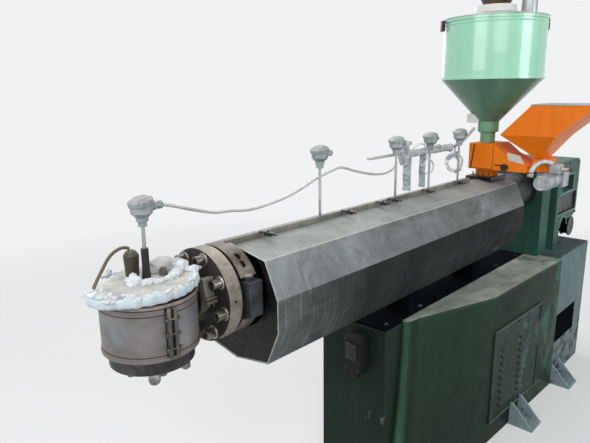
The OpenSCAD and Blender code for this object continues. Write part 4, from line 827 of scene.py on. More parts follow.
def makeBlanket(s):
    bm = bmesh.new()
    stem = Vector((dieX, 0, 0))
    low = [(s["inner"] + (1 - s["inner"]) * k / s["rings"], 0.0) for k in range(s["rings"] + 1)]
    rim = [(1 + 0.035 * math.sin(math.pi * k / 6), 0.5 - 0.5 * math.cos(math.pi * k / 6)) for k in range(1, 6)]
    verts = [bm.verts.new((t, 0, z)) for t, z in low + rim + [(t, 1.0) for t, z in reversed(low)]]
    edges = [bm.edges.new((a, b)) for a, b in zip(verts, verts[1:] + verts[:1])]
    bmesh.ops.spin(bm, geom=verts + edges, cent=(0, 0, 0), axis=(0, 0, 1), steps=s["steps"],
                   angle=2 * math.pi, use_merge=True, use_duplicate=False)
    for v in bm.verts:
        t, a = math.hypot(v.co.x, v.co.y), math.atan2(v.co.y, v.co.x)
        way = Vector((math.cos(a), math.sin(a), 0))
        reach = reachAt(s["outline"], math.degrees(a)) + sum(deep * noise.noise(way * close)
                                                             for deep, close in s["tears"])
        p = way * (s["hole"] + (reach - s["hole"]) * max(0, t - s["inner"]) / (1 - s["inner"])) + stem
        thick = s["thick"] * (0.92 + 0.16 * noise.noise(p * 20)) + 0.0012 * noise.noise(p * 80)
        for x, y, wide, high in s["lobes"]:
            thick += high * math.exp(-((p.x - x) ** 2 + (p.y - y) ** 2) / wide ** 2)
        thick += s["curl"] * max(0, t - 0.82) / 0.18 * (0.6 + 0.8 * noise.noise(way * 9 + Vector((0, 0, 4))))
        past = max(0, (p - stem).length - s["ringEdge"])
        droop = s["droop"][0] * min(past, s["droopTo"]) + s["droop"][1] * max(0, past - s["droopTo"])
        ragged = 0.002 * noise.noise(p * 120) if t > 0.9 else 0
        p.z = s["bottom"] + v.co.z * thick - droop * (1 - v.co.z * 0.4) + ragged * v.co.z
        v.co = p
    pieces = [toMesh(bm, "torn_blanket", fabrics["blanket"], 80)]
    for name, make, material in (("blanket_tufts", makeTufts, "tufts"), ("blanket_mounds", makeMounds, "mound")):
        bm = bmesh.new()
        make(s, bm)
        pieces.append(toMesh(bm, name, fabrics[material], 80))
    for piece in pieces:
        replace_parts(piece, "insulation_blanket")


makeBlanket(blanket)

# profiles are radius and height: the lip from the band's top, the roll from its foot, the others from their own foot
dieTrim = {
    "lip": [(.112, .0002), (.1176, .0002), (.1186, .0015), (.1186, .0060), (.1170, .0080), (.112, .0080)],
    "footRoll": [(.1145, -.0040), (.1178, -.0040), (.1186, -.0010), (.1178, .0035), (.1160, .0045)],
    "seams": [(bandHigh - 0.016, 0.0006), (bandHigh - 0.0012, 0.0010), (bandLow + 0.010, 0.0006)], "seam": 0.0018,
    "footRing": [(.0925, .938), (.1015, .938), (.1035, .940), (.1035, .966), (.1015, .9695), (.0925, .9695)],
    "lowerBolts": (-48, 72), "lowerPitch": 0.080, "lowerZ": 0.9225, "lowerNut": (.0125, .014, .004, .006),
    "outletZ": 0.916, "outletNut": (.0170, .020),
    "outlet": [(0, 0), (.013, 0), (.013, .032), (.0150, .036), (.0155, .043), (.0125, .051), (.0070, .055),
               (.0045, .051), (0, .051)],
    "clampAngle": -97.5, "apart": 0.0078, "barOut": 0.1245, "stripOut": 0.1190, "gapOut": 0.1180,
    "strip": (0.012, 0.0022, 0.106), "gap": (0.0060, 0.008, 0.112),
    "bar": [(0, .004), (.0042, .004), (.0050, .006), (.0050, .122), (.0042, .124), (0, .124)],
    "screws": (0.026, 0.062, 0.098), "screwOut": 0.1265, "screw": (.0022, -.020, .018), "nutOut": 0.0145,
    "nut": (.0056, .005), "endNut": (.0050, .004, .004, .0022),
    "stemSleeve": [(.0048, 1.2165), (.0086, 1.2165), (.0092, 1.212), (.0090, 1.165), (.0104, 1.150), (.0118, 1.1385),
                   (.0048, 1.1385)],
    "buriedBolt": (-2.016, -0.004, 1.1420), "buriedNut": (.0110, .014, .004, .006),
}


def makeDieTrim(s):
    here, bandMiddle = shift(dieX, 0, 0), (bandLow + bandHigh) / 2
    rings = (  # copper lip over the band, its rolled foot, the ring round the lower flange, the stem's black sleeve
        ("band_lip", s["lip"], bandHigh, 96, 35, metals["lipCopper"], "copper_ring"),
        ("band_foot_roll", s["footRoll"], bandLow, 96, 35, finishes["die_heater_band"], "band_steel"),
        ("die_foot_ring", s["footRing"], 0, 96, 35, metals["bandDark"], "dark_steel"),
        ("stem_sleeve", s["stemSleeve"], 0, 32, 40, plastics["black"], "bolt_steel"))
    for name, profile, z, sides, shade, material, slot in rings:
        bm = blank()
        turned(bm, profile, here @ shift(0, 0, z), sides)
        toMesh(bm, name, material, shade)
    bm = blank()  # pressed beads and the shadow seams between the band's strips
    for z, out in s["seams"]:
        sleeve(bm, here @ shift(0, 0, z), 0.1150, 0.1160 + out, -s["seam"] / 2, s["seam"] / 2, 96)
    toMesh(bm, "band_seams", plastics["seam"])
    bm = blank()  # bolts of the lower flange and the outlet with its nut
    below = spin(180, "X")
    for degrees in s["lowerBolts"]:
        hexNut(bm, here @ spin(degrees, "Z") @ shift(s["lowerPitch"], 0, s["lowerZ"]) @ below, *s["lowerNut"])
    outlet = here @ shift(0, 0, s["outletZ"]) @ below
    hexNut(bm, outlet @ shift(0, 0, 0.012), *s["outletNut"])
    turned(bm, s["outlet"], outlet, 32)
    toMesh(bm, "die_lower_bolts", metals["outletSteel"])
    clamp = here @ spin(s["clampAngle"], "Z")
    bm = blank()  # the two rolled clamp bars
    for side in (-1, 1):
        turned(bm, s["bar"], clamp @ shift(s["barOut"], side * s["apart"], bandLow), 24)
        softBox(bm, s["strip"], clamp @ shift(s["stripOut"], side * (s["apart"] + 0.003), bandMiddle), 0.0006)
    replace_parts(toMesh(bm, "band_clamp_bars", metals["clampSteel"]), "band_clamp")
    bm = blank()
    for k, z in enumerate(s["screws"]):
        across = clamp @ shift(s["screwOut"], 0, bandLow + z) @ spin(90, "X")
        rod(bm, across, *s["screw"])
        hexNut(bm, across @ shift(0, 0, s["nutOut"]) @ Matrix.Rotation(0.4 * k, 4, "Z"), *s["nut"])
        hexNut(bm, across @ spin(180, "X") @ shift(0, 0, s["nutOut"]), *s["endNut"])
    toMesh(bm, "band_clamp_screws", metals["boltSteel"])
    bm = blank()  # dark gap behind the bars
    softBox(bm, s["gap"], clamp @ shift(s["gapOut"], 0, bandMiddle), 0)
    toMesh(bm, "band_gap_shadow", plastics["black"])
    bm = blank()
    hexNut(bm, shift(*s["buriedBolt"]), *s["buriedNut"])
    toMesh(bm, "die_bolt_head", metals["clampSteel"])


makeDieTrim(dieTrim)

headBolts = {"pitch": 0.104, "count": 8, "first": 14, "faceX": -1.910, "r": 0.0138, "long": 0.0245, "socket": 0.0078,
             "washerR": 0.0178, "washer": 0.0035, "blockNutAt": (-1.834, 0.109, 0.056), "blockNut": (.0110, .006)}


def makeHeadBolts(s):
    bolts, rings = blank(), blank()
    for i in range(s["count"]):
        at = shift(s["faceX"], 0, axisH) @ spin(s["first"] + 360 * i / s["count"], "X") @ shift(0, 0, s["pitch"])
        at = at @ spin(-90, "Y") @ Matrix.Rotation(0.7 * i, 4, "Z")
        washer(rings, at, s["washerR"], s["washer"])
        socketBolt(bolts, at @ shift(0, 0, s["washer"] - 0.0002), s["r"], s["long"], s["socket"])
    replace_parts(toMesh(bolts, "head_socket_bolts", metals["boltSteel"], 32), "head_bolts")
    toMesh(rings, "head_bolt_washers", metals["washerSteel"], 32)
    bm = blank()  # nuts on the clamp blocks
    x, y, z = s["blockNutAt"]
    for side in (-1, 1):
        hexNut(bm, shift(x, side * y, axisH + z), *s["blockNut"])
    toMesh(bm, "head_small_screws", metals["washerSteel"], 32)


makeHeadBolts(headBolts)

heaterEar = {  # clamp ear of the adapter's heater, facing the operator; its boxes are size, place and edge
    "x": -1.925, "turn": 78, "screwX": (-0.007, 0.007), "screwY": -0.008, "screwZ": 0.066,
    "screw": (.0020, -.012, .016), "nut": (.0048, .004), "band": (.0475, .0490, -.012, .012),
    "boxes": [((.030, .044, .028), (0, .022, .058), .004), ((.034, .010, .032), (0, .046, .058), .003),
              ((.032, .006, .022), (0, -.0128, .064), .0018), ((.032, .006, .022), (0, -.0032, .064), .0018)]}


def makeHeaterEar(s):
    bm = blank()
    ear, across = shift(s["x"], 0, axisH) @ spin(s["turn"], "X"), spin(90, "X")
    for size, place, edge in s["boxes"]:
        softBox(bm, size, ear @ shift(*place), edge, 3)
    for x in s["screwX"]:
        rod(bm, ear @ shift(x, s["screwY"], s["screwZ"]) @ across, *s["screw"], 12)
        hexNut(bm, ear @ shift(x, s["screwY"] * 2, s["screwZ"]) @ across, *s["nut"])
    sleeve(bm, shift(s["x"] - 0.002, 0, axisH) @ spin(90, "Y"), *s["band"], 48)
    toMesh(bm, "adapter_heater_ear", metals["barSteel"], 32)


makeHeaterEar(heaterEar)
print("head and die finished")

sensors = {"feet": [(dieX, 0.0, 1.270)] + [(x, 0.0145, 1.335) for x in (-1.411, -0.978, -0.734, -0.487)],
           "tilt": 12, "lidZ": 0.052, "gasket": (.020, .0272, -.0012, .0004), "screwAngles": (50, 230),
           "glandX": 0.030, "glandZ": 0.044, "glandNuts": ((0, .0112, .008), (.016, .0104, .009)),
           "collars": (0.0135, 0.0185), "collarR": (0.0125, 0.0146), "collarHalf": 0.001,
           "screw": [(0, 0), (.0030, 0), (.0030, .0016), (.0020, .0024), (0, .0024)]}


def makeSensorTrim(s):
    screws, gaskets = blank(), blank()
    for foot in s["feet"]:
        here = shift(*foot)
        lid = here @ shift(0, 0, s["lidZ"]) @ spin(-s["tilt"], "Y")
        sleeve(gaskets, lid, *s["gasket"], 40)
        for a in s["screwAngles"]:
            turned(screws, s["screw"], lid @ spin(a, "Z") @ shift(0.0262, 0, 0.010), 16)
        for along, r, h in s["glandNuts"]:
            hexNut(screws, here @ shift(s["glandX"], 0, s["glandZ"]) @ spin(90, "Y") @ shift(0, 0, along), r, h)
        for z in s["collars"]:
            sleeve(screws, here, *s["collarR"], z - s["collarHalf"], z + s["collarHalf"])
    toMesh(screws, "sensor_fittings", metals["castAlloy"])
    toMesh(gaskets, "sensor_gaskets", plastics["black"])


makeSensorTrim(sensors)

# the wiring along the ridge; stems are place, radius and seed, tails place, size and turn
wiring = {
    "ductY": 0.042, "ductZ": 1.329,
    "stems": [(-0.856, 0.0165, 3), (-0.742, 0.0132, 5)], "stemZ": (1.1835, 1.3135),
    "lump": {"x": -0.8830, "z": (1.286, 1.386), "r": 0.0225,
             "waist": [(0, 0.50), (0.12, 0.80), (0.3, 0.97), (0.55, 1.0), (0.75, 0.93), (0.9, 0.74), (1.0, 0.42)]},
    "tails": [((-0.893, 0.024, 1.352), (.014, .006, .020), 25), ((-0.872, 0.024, 1.326), (.012, .007, .020), -30),
              ((-0.900, 0.028, 1.312), (.010, .007, .014), 10), ((-0.866, 0.030, 1.371), (.016, .008, .008), 5),
              ((-0.640, 0.030, 1.342), (.022, .010, .009), 5), ((-0.700, 0.034, 1.345), (.030, .010, .008), -5),
              ((-0.535, 0.030, 1.322), (.016, .010, .012), 20), ((-0.455, 0.036, 1.288), (.010, .010, .020), 20)],
    "coil": {"centre": (-0.470, 0.042, 1.255), "r": 0.0395, "turns": 4, "steps": 46, "axis": 46, "wire": 0.0021,
             "lean": (75, 30), "wraps": ((4, 15), (27, 34))},
    "tapeTurns": (-0.872, -0.846, -0.800, -0.742, -0.690, -0.640, -0.600, -0.548, -0.520),
    "tapeR": (0.0146, 0.0158, 0.0161),
    "nearLoop": [(-0.884, 0.020, 1.331), (-0.874, 0.015, 1.345), (-0.851, 0.013, 1.357), (-0.826, 0.012, 1.366),
                 (-0.806, 0.011, 1.367), (-0.784, 0.011, 1.360), (-0.768, 0.012, 1.346), (-0.758, 0.013, 1.322),
                 (-0.761, 0.014, 1.300), (-0.771, 0.018, 1.283), (-0.782, 0.026, 1.276)],
    "lowLoop": [(-0.762, 0.020, 1.309), (-0.744, 0.014, 1.303), (-0.725, 0.012, 1.292), (-0.711, 0.011, 1.279),
                (-0.706, 0.011, 1.266), (-0.711, 0.012, 1.252), (-0.724, 0.014, 1.243), (-0.740, 0.019, 1.241),
                (-0.750, 0.030, 1.246)],
    "whiteTube": [(-0.462, 0.044, 1.333), (-0.425, 0.046, 1.337), (-0.380, 0.052, 1.348), (-0.330, 0.058, 1.364),
                  (-0.290, 0.062, 1.380), (-0.262, 0.060, 1.393)],
}


def lumpy(seed, much):
    return lambda t: 1 - much + much * (0.6 + noise.noise(Vector((t * 9, seed, 0))) * 0.9)


def waisted(points):
    def shape(t):
        for (a, low), (b, high) in zip(points, points[1:]):
            if a <= t <= b:
                return (low + (high - low) * (t - a) / (b - a)) * (1 + 0.10 * noise.noise(Vector((t * 14, 2, 0))))
        return points[-1][1]
    return shape


def coilRoute(s):
    line, last = [], s["steps"] * s["turns"]
    facing = Matrix.Rotation(math.radians(s["axis"]), 3, "Z")
    for k in range(last + 1):
        a = 2 * math.pi * k / s["steps"] + math.pi / 2
        lean = math.radians(s["lean"][0] + s["lean"][1] * k / last)
        wide = s["r"] * (0.86 + 0.17 * math.sin(a * 0.37 + 0.5))
        spot = Vector((wide * math.cos(a) + 0.007 * math.sin(a * 0.24), wide * math.sin(a), 0.004 * math.sin(a * 0.31)))
        line.append(Vector(s["centre"]) + facing @ Matrix.Rotation(lean, 3, "Y") @ spot)
    return line


def makeTape(s):  # taped uprights that carry the duct, the taped bundle, its tails and the turns round the duct
    def upright(x, low, high, count):
        return [Vector((x + 0.0015 * math.sin(9 * k / count), s["ductY"], low + (high - low) * k / count))
                for k in range(count + 1)]

    for x, r, seed in s["stems"]:
        stem = tube(upright(x, *s["stemZ"], 40), r, "taped_stem_%d" % seed, fabrics["stemTape"], 24,
                    lumpy(seed, 0.14))
        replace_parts(stem, "lead_wraps")
    lump = s["lump"]
    tube(upright(lump["x"], *lump["z"], 36), lump["r"], "taped_lump", fabrics["lumpTape"], 28,
         waisted(lump["waist"]))
    bm = bmesh.new()
    for k, (at, size, turn) in enumerate(s["tails"]):
        blob(bm, at, size, k + 9, 0.8, turn, 3)
    toMesh(bm, "lump_tape_tails", fabrics["lumpTape"], 60)
    bm = blank()
    low, out, high = s["tapeR"]
    for k, x in enumerate(s["tapeTurns"]):
        wide = 0.012 if k % 2 else 0.007
        turned(bm, [(low, -wide), (out, -wide + 0.001), (high, 0), (out, wide - 0.001), (low, wide)],
               shift(x, s["ductY"], s["ductZ"]) @ spin(90, "Y"), 30)
    toMesh(bm, "duct_tape_turns", metals["ductAlloy"], 45)


def makeWires(s):
    def straight(x, z, run, rise, count):
        return [Vector((x + run * k / count, s["ductY"], z + rise * k / count)) for k in range(count + 1)]

    coil = coilRoute(s["coil"])
    braid, white = fabrics["leadBraid"], plastics["white"]
    for line, r, name, material, sides, swell in (
            (straight(-1.118, 1.334, 0.198, 0, 30), 0.0058, "braided_stub", braid, 16,
             lambda t: 1.0 if t > 0.1 else 0.75 + 2.5 * t),
            (straight(-0.5095, 1.329, 0.044, 0, 10), 0.006, "duct_tail", braid, 16, None),
            (coil, s["coil"]["wire"], "lead_coil", white, 12, None),
            (straight(-0.470, 1.2945, 0, 0.035, 8), 0.0045, "coil_hanger", braid, 12, None),
            (smoothRoute(s["nearLoop"], 5), 0.0032, "near_wire_loop", white, 12, None),
            (smoothRoute(s["lowLoop"], 5), 0.0038, "low_wire_loop", white, 12, None)):
        tube(line, r, name, material, sides, swell)
    for k, (start, end) in enumerate(s["coil"]["wraps"]):
        tube(coil[start:end], 0.0082, "coil_wrap_%d" % k, fabrics["stemTape"], 18, lumpy(k + 11, 0.2))
    tube(smoothRoute(s["whiteTube"], 5), 0.0085, "white_tube", white, 18)


makeTape(wiring)
makeWires(wiring)

clips = {"steps": (0.095, 0.466, 0.660, 0.735, 0.971, 1.233), "turn": 20, "barTop": 1.185, "footY": -0.030,
         "lever": (.012, .028, .004), "nutZ": 1.1860, "nut": (.0056, .0035),
         "boxes": [((.017, .024, .011), (0, -.002, 1.1830), 10, .0020),
                   ((.009, .026, .005), (0, -.014, 1.1835), 14, .0014)],  # size, place, lean, edge
         "pin": [(0, 1.178), (.0034, 1.178), (.0034, 1.1910), (.0024, 1.1918), (0, 1.1918)]}


def makeClips(s):
    bm, pins = blank(), blank()
    for step in s["steps"]:
        at = shift(coverFrontX + step, 0, 0) @ spin(s["turn"], "Z")
        foot = at @ shift(0, s["footY"], 0)
        softBox(bm, s["lever"], at @ shift(0, -0.019, s["barTop"] + 0.0022), 0.0012)
        for size, place, lean, edge in s["boxes"]:
            softBox(bm, size, foot @ shift(*place) @ spin(lean, "X"), edge)
        turned(pins, s["pin"], foot, 18)
        hexNut(pins, foot @ shift(0, 0, s["nutZ"]), *s["nut"])
    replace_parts(toMesh(bm, "ridge_toggle_clips", plastics["black"]), "ridge_clips")
    toMesh(pins, "ridge_clip_studs", metals["darkIron"])


makeClips(clips)
print("ridge finished")

doser = {
    "frontX": -0.322, "motor": (-0.368, -0.300, 1.184), "fins": 22, "noFins": (4, 5, 6), "flutes": 12,
    "joints": [((.0060, .108), (.029, 1.2745), math.degrees(math.atan2(0.014, 0.110)), .0003),
               ((.0018, .112), (-.0665, 1.2745), 0, .0003), ((.032, .0055), (-.093, 1.2395), 0, .0004),
               ((.110, .0022), (-.010, 1.2195), 0, .0003)],  # width and height, place, turn, edge
    "screws": [(-0.306, y, 1.1805) for y in (-0.045, -0.020, 0.008, 0.030)], "screwNut": (.0060, .006, .014, .0032),
    "cap": [(0, .0015), (.006, .0015), (.0065, .0005), (.024, .0005), (.0245, .003), (.0285, .003), (.0305, .001),
            (.0305, -.014), (.0295, -.0145)],
    "conduit": [(-0.352, -0.250, 1.222), (-0.344, -0.254, 1.240), (-0.328, -0.262, 1.256), (-0.305, -0.274, 1.266),
                (-0.284, -0.290, 1.266), (-0.268, -0.306, 1.258)],
    "fin": (0.118, 0.0022, 0.007), "finAt": (0.085, 0, 0.0315), "capScrew": (.0026, .0016), "capPitch": 0.0205,
    "conduitR": 0.0098, "conduitNutAt": (-0.352, -0.250, 1.206), "conduitNut": (.0150, .014),
    "glandAt": (-0.240, -0.336, 1.234), "glandNut": (.0135, .010),
    "boxScrews": [(x, y, 1.2535) for x in (-0.264, -0.218) for y in (-0.331, -0.301)], "boxScrew": (.0032, .0018),
    "gland": [(0, .009), (.0105, .009), (.0105, .026), (.0085, .030), (0, .030)],
    "glandPlug": [(0, .029), (.0075, .029), (.0085, .036), (.0070, .042), (0, .042)],
    "pinkKnobAt": (-0.166, 0.020, 1.388),
    "pinkKnob": [(0, 0), (.008, 0), (.008, .012), (.0150, .016), (.0175, .024), (.0165, .034), (.010, .041), (0, .042)],
}


def makeDoserTrim(s):
    bm = blank()
    for (wide, high), (y, z), lean, edge in s["joints"]:
        softBox(bm, (0.0012, wide, high), shift(s["frontX"] - 0.0003, y, z) @ spin(lean, "X"), edge)
    toMesh(bm, "doser_joints", plastics["seam"])
    bm = blank()
    for place in s["screws"]:
        hexNut(bm, shift(*place), *s["screwNut"])
    toMesh(bm, "doser_screws", metals["boltSteel"])
    bm = blank()  # fluted knob ring
    low, high = (Vector(v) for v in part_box("doser_knob"))
    for k in range(s["flutes"]):
        at = shift(*(low + high) / 2) @ spin(360 * k / s["flutes"], "X") @ shift(0, 0, (high.z - low.z) / 2)
        softBox(bm, ((high.x - low.x) / 2, 0.0035, 0.003), at, 0.001)
    toMesh(bm, "knob_flutes", plastics["black"], 40)
    bm = blank()  # pink knob behind the neck
    turned(bm, s["pinkKnob"], aim(s["pinkKnobAt"], (0.1, 0.0, 1)), 36)
    toMesh(bm, "pink_knob", plastics["pink"], 50)


def makeMotorTrim(s):
    bm = blank()  # motor end cap with its rim, boss, screws and cooling fins
    face = shift(*s["motor"]) @ spin(-90, "Y")
    turned(bm, s["cap"], face, 48)
    for a in (45, 135, 225, 315):
        dome(bm, face @ spin(a, "Z") @ shift(s["capPitch"], 0, 0.0004), *s["capScrew"])
    for k in range(s["fins"]):
        if k not in s["noFins"]:
            at = shift(*s["motor"]) @ spin(360 * k / s["fins"], "X")
            softBox(bm, s["fin"], at @ shift(*s["finAt"]), 0.0005, 1)
    toMesh(bm, "motor_cap_and_fins", metals["motorAlloy"])
    tube(smoothRoute(s["conduit"], 8), s["conduitR"], "motor_conduit", metals["ductAlloy"], 20,
         lambda t: 1.0 + 0.10 * math.sin(t * 90))
    bm = blank()  # gland and screws of the terminal box
    hexNut(bm, aim(s["conduitNutAt"], (0, 0, 1)), *s["conduitNut"])
    gland = aim(s["glandAt"], (0.25, -1, 0.02))
    hexNut(bm, gland, *s["glandNut"])
    turned(bm, s["gland"], gland, 28)
    for place in s["boxScrews"]:
        dome(bm, shift(*place), *s["boxScrew"])
    toMesh(bm, "motor_fittings", metals["washerSteel"])
    bm = blank()
    turned(bm, s["glandPlug"], gland, 24)
    toMesh(bm, "gland_plug", plastics["plugBrown"], 40)


makeDoserTrim(doser)
makeMotorTrim(doser)

hopper = {"drumR": 0.2175, "beadZ": 1.846, "bead": [(-.001, -.004), (.0014, -.0026), (.0022, 0), (.0014, .0026),
                                                    (-.001, .004)],
          "neckScrews": 6, "neckPitch": 0.0395, "neckZ": 1.3925, "neckNut": (.0046, .004)}


def makeHopperTrim(s):
    here = shift(hopperX, 0, 0)
    bm = blank()
    turned(bm, [(s["drumR"] + out, s["beadZ"] + up) for out, up in s["bead"]], here, 120)
    toMesh(bm, "drum_beads", paints["hopperMint"], 60)
    bm = blank()
    for k in range(s["neckScrews"]):
        at = here @ spin(360 * (k + 0.25) / s["neckScrews"], "Z") @ shift(s["neckPitch"], 0, s["neckZ"])
        hexNut(bm, at @ spin(180, "X") @ shift(0, 0, 0.0105), *s["neckNut"])
    toMesh(bm, "neck_screws", metals["boltSteel"])


makeHopperTrim(hopper)
print("feed finished")


def framed(bm, place, opening, out, bar, more, edge):
    # four bars round a rectangle: how far out they sit, width and depth of a bar, how much longer than the sides
    (x0, x1, z0, z1), (thin, deep) = opening, bar
    for z in (z1 + out, z0 - out):
        softBox(bm, (x1 - x0 + more[0], deep, thin), place @ shift((x0 + x1) / 2, 0, z), edge)
    for x in (x0 - out, x1 + out):
        softBox(bm, (thin, deep, z1 - z0 + more[1]), place @ shift(x, 0, (z0 + z1) / 2), edge)


guard = {
    "y": -0.150, "plateY": -0.1416, "window": (0.388, 0.572, 1.018, 1.106), "plate": (0.347, 0.637, 0.900, 1.006),
    "arch": (0.457, 0.826), "archRim": [(.0502, -.0026), (.0580, -.0026), (.0588, -.0016), (.0588, .0002),
                                        (.0502, .0002)],
    "bolts": [(0.345, 1.168), (0.492, 1.174), (0.640, 1.168), (0.345, 1.010), (0.640, 1.060), (0.640, 0.880),
              (0.345, 0.860), (0.345, 0.740)],
    "plateBolts": [(x, z) for z in (0.916, 0.990) for x in (0.363, 0.621)],
    "washer": (.0088, .0016), "nut": (.0062, .0045), "plateNut": (.0052, .0035),
}
cabinet = {
    "y": -0.2300, "lock": (0.222, 0.627), "lockForm": [(0, 0), (.0105, 0), (.0105, .004), (.0070, .006), (.0070, .010),
                                                       (.0058, .011), (0, .011)],
    "screws": [(x, z) for z in (0.690, 0.020) for x in (0.215, 0.665)] + [(x, z) for z in (0.392, 0.198)
                                                                         for x in (0.240, 0.562)],
    "screw": [(0, 0), (.0050, 0), (.0046, .0018), (.0028, .0030), (0, .0032)],
    "slats": 7, "slat": (0.306, 0.016, 0.0016), "slatAt": (0.401, -0.217, 0.232), "slatStep": 0.021, "slatLean": 38,
}


def makeGuardTrim(s):
    near = spin(90, "X")
    bm = blank()  # raised frames round the window, the plate and the arch
    for opening in (s["window"], s["plate"]):
        framed(bm, shift(0, s["y"] - 0.0012, 0), opening, 0.004, (0.008, 0.003), (0.016, 0.014), 0.0012)
    arch = shift(s["arch"][0], s["y"], s["arch"][1]) @ near @ Matrix.Scale(-1, 4, (0, 0, 1))
    turned(bm, s["archRim"], arch, 24, (), 180)
    toMesh(bm, "guard_frames", paints["rimGreen"])
    bm = blank()
    for x, z in s["bolts"]:
        at = shift(x, s["y"] + 0.0002, z) @ near
        washer(bm, at, *s["washer"])
        hexNut(bm, at @ shift(0, 0, 0.0014), *s["nut"])
    for x, z in s["plateBolts"]:
        hexNut(bm, shift(x, s["plateY"], z) @ near, *s["plateNut"])
    toMesh(bm, "guard_bolts", metals["boltSteel"])


def makeCabinetTrim(s):
    near = spin(90, "X")
    bm = blank()  # door lock and screws on the operator side
    turned(bm, s["lockForm"], shift(s["lock"][0], s["y"], s["lock"][1]) @ near, 28)
    for x, z in s["screws"]:
        turned(bm, s["screw"], shift(x, s["y"], z) @ near, 18)
    toMesh(bm, "cabinet_fasteners", metals["boltSteel"])
    bm = blank()  # slats behind the vent
    for k in range(s["slats"]):
        at = shift(*s["slatAt"]) @ shift(0, 0, s["slatStep"] * k) @ spin(s["slatLean"], "X")
        softBox(bm, s["slat"], at, 0.0004, 1)
    toMesh(bm, "vent_slats", paints["deckPaintedShade"])


makeGuardTrim(guard)
makeCabinetTrim(cabinet)

panel = {"knee": (-0.540, -0.220, 0), "turn": -1.935, "opening": (0.007, 0.507, 0.095, 0.545), "out": -0.0083,
         "inset": 0.0045, "bar": (0.0030, 0.0022), "screwIn": (0.024, 0.022), "screwOut": -0.0042,
         "washer": (.0074, .0012),
         "screw": [(0, .001), (.0050, .001), (.0046, .003), (.0028, .0042), (0, .0044)]}


def makePanelTrim(s):
    face = shift(*s["knee"]) @ spin(s["turn"], "Z")
    x0, x1, z0, z1 = s["opening"]
    bm = blank()
    framed(bm, face @ shift(0, s["out"], 0), s["opening"], -s["inset"], s["bar"], (-0.002, -0.002), 0.0008)
    toMesh(bm, "panel_edge_trim", paints["trimGreen"])
    bm = blank()
    for x in (x0 + s["screwIn"][0], (x0 + x1) / 2, x1 - s["screwIn"][0]):
        for z in (z0 + s["screwIn"][1], z1 - s["screwIn"][1]):
            at = face @ shift(x, s["screwOut"], z) @ spin(90, "X")
            washer(bm, at, *s["washer"])
            turned(bm, s["screw"], at, 20)
    toMesh(bm, "panel_screws", metals["blockIron"])


makePanelTrim(panel)

base = {"deckTop": 0.710, "boltsX": (-1.090, -0.850, -0.610, -0.370, -0.130, 0.110), "boltsY": (-0.038, 0.224),
        "boxScrewsZ": (0.530, 0.650), "boxScrewIn": 0.009, "boxScrew": [(0, 0), (.0040, 0), (.0036, .0014), (0, .0024)],
        "washer": (.0100, .0018), "nut": (.0072, .006),
        "flap": (0.007, 0.052, 0.062), "flapY": 0.0575, "flapZ": 0.600, "hingeY": 0.0325, "hingeZ": 0.633}


def makeBaseTrim(s):
    bm = blank()
    for x in s["boltsX"]:
        for y in s["boltsY"]:
            washer(bm, shift(x, y, s["deckTop"]), *s["washer"])
            hexNut(bm, shift(x, y, s["deckTop"] + 0.0016), *s["nut"])
    toMesh(bm, "deck_bolts", metals["darkIron"])
    bm = blank()
    (front, boxNear, _), (_, boxFar, _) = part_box("socket_box")
    for y in (boxNear + s["boxScrewIn"], boxFar - s["boxScrewIn"]):
        for z in s["boxScrewsZ"]:
            turned(bm, s["boxScrew"], shift(front, y, z) @ spin(-90, "Y"), 16)
    toMesh(bm, "socket_box_screws", metals["blockIron"])
    bm = blank()  # hinged flap of the outlet on the box
    softBox(bm, s["flap"], shift(front - 0.0025, s["flapY"], s["flapZ"]), 0.003, 3)
    rod(bm, shift(front - 0.004, s["hingeY"], s["hingeZ"]) @ spin(-90, "X"), 0.0035, 0, 0.050)
    toMesh(bm, "socket_flap", plastics["black"])


makeBaseTrim(base)
print("base and drive finished")

studio = {
    "world": 0.26, "shownWorld": 0.92, "sky": (0.95, 0.965, 0.975), "floorNear": 0.40, "floorLit": 0.30,
    "floorPale": ((0.80, 0.81, 0.81), (0.83, 0.84, 0.84)), "floorSize": 16, "fade": (1.6, 5.0),
    "centre": (-0.75, 0.0, 0.0),
    "lamps": [  # place, aim, size, watts, colour
        ((-0.6, 1.9, 4.6), (-1.0, 0.0, 1.0), 3.0, 95, (1.0, 0.99, 0.97)),
        ((-5.0, 0.4, 2.9), (-1.2, 0.0, 1.2), 2.4, 78, (0.96, 0.985, 1.0)),
        ((-3.9, -2.7, 3.2), (-0.8, -0.1, 1.4), 2.6, 72, (0.97, 0.99, 1.0)),
        ((0.02, -3.0, 2.1), (-0.2, 0.0, 1.75), 1.3, 34, (0.90, 0.97, 1.0)),
        ((1.8, 2.4, 2.6), (-0.2, 0.0, 1.1), 2.0, 30, (1.0, 0.99, 0.97)),
    ],
}


def shownIn(tree):  # 1 for what the camera sees straight, in metal or through glass, else 0
    rays = tree.nodes.new("ShaderNodeLightPath").outputs
    seen = calc(tree, "MAXIMUM", rays["Is Camera Ray"], rays["Is Glossy Ray"])
    return calc(tree, "MAXIMUM", seen, rays["Is Transmission Ray"])


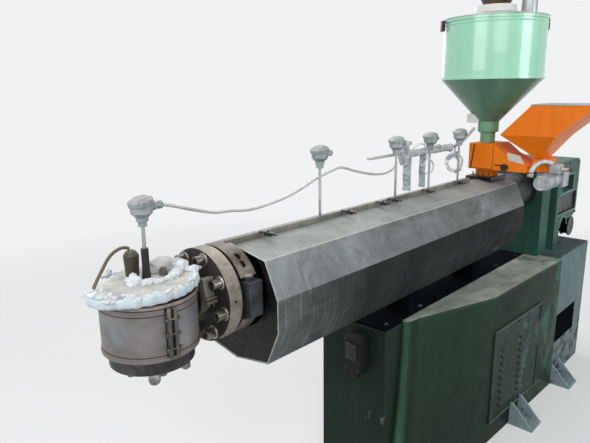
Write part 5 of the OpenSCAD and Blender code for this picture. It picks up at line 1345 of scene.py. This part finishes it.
def makeWorld(s):
    world = bpy.data.worlds.new("studio")
    world.use_nodes = True
    bpy.context.scene.world = world
    tree = world.node_tree
    back = tree.nodes["Background"]
    back.inputs["Color"].default_value = (*s["sky"], 1)
    tree.links.new(span(tree, shownIn(tree), 0, 1, s["world"], s["shownWorld"]), back.inputs["Strength"])


def makeLamps(s):
    for place, target, size, watts, colour in s["lamps"]:
        data = bpy.data.lights.new("softbox", "AREA")
        data.shape, data.size, data.energy, data.color = "SQUARE", size, watts, colour
        lamp = bpy.data.objects.new("softbox", data)
        ahead = Vector(target) - Vector(place)
        lamp.matrix_world = shift(*place) @ ahead.to_track_quat("-Z", "Y").to_matrix().to_4x4()
        bpy.context.scene.collection.objects.link(lamp)


def makeFloor(s):  # pale to the eye, duller to the lamps, and it fades into the background
    mat, tree = newMaterial("pale_floor", 0.0, 0.8)
    shader = tree.nodes["Principled BSDF"]
    shown = shownIn(tree)
    pale = ramp(tree, grain(tree, coords(tree), 1.5, 3), [(0.3, s["floorPale"][0]), (0.7, s["floorPale"][1])])
    tree.links.new(mix(tree, shown, (s["floorLit"],) * 3, pale), shader.inputs["Base Color"])
    glow = tree.nodes.new("ShaderNodeEmission")
    glow.inputs["Color"].default_value = (*s["sky"], 1)
    glow.inputs["Strength"].default_value = s["shownWorld"]
    away = tree.nodes.new("ShaderNodeVectorMath")
    away.operation = "DISTANCE"
    tree.links.new(coords(tree), away.inputs[0])
    away.inputs[1].default_value = s["centre"]
    both = tree.nodes.new("ShaderNodeMixShader")
    faded = span(tree, away.outputs["Value"], *s["fade"], s["floorNear"], 1.0)
    tree.links.new(times(tree, shown, faded), both.inputs[0])
    tree.links.new(shader.outputs[0], both.inputs[1])
    tree.links.new(glow.outputs[0], both.inputs[2])
    tree.links.new(both.outputs[0], tree.nodes["Material Output"].inputs["Surface"])
    bm = bmesh.new()
    bmesh.ops.create_grid(bm, x_segments=2, y_segments=2, size=s["floorSize"])
    mesh = bpy.data.meshes.new("floor")
    bm.to_mesh(mesh)
    bm.free()
    floor = bpy.data.objects.new("floor", mesh)
    mesh.materials.append(mat)
    bpy.context.scene.collection.objects.link(floor)


makeWorld(studio)
makeLamps(studio)
makeFloor(studio)
bpy.context.scene.view_settings.view_transform = "Standard"
print("studio made")
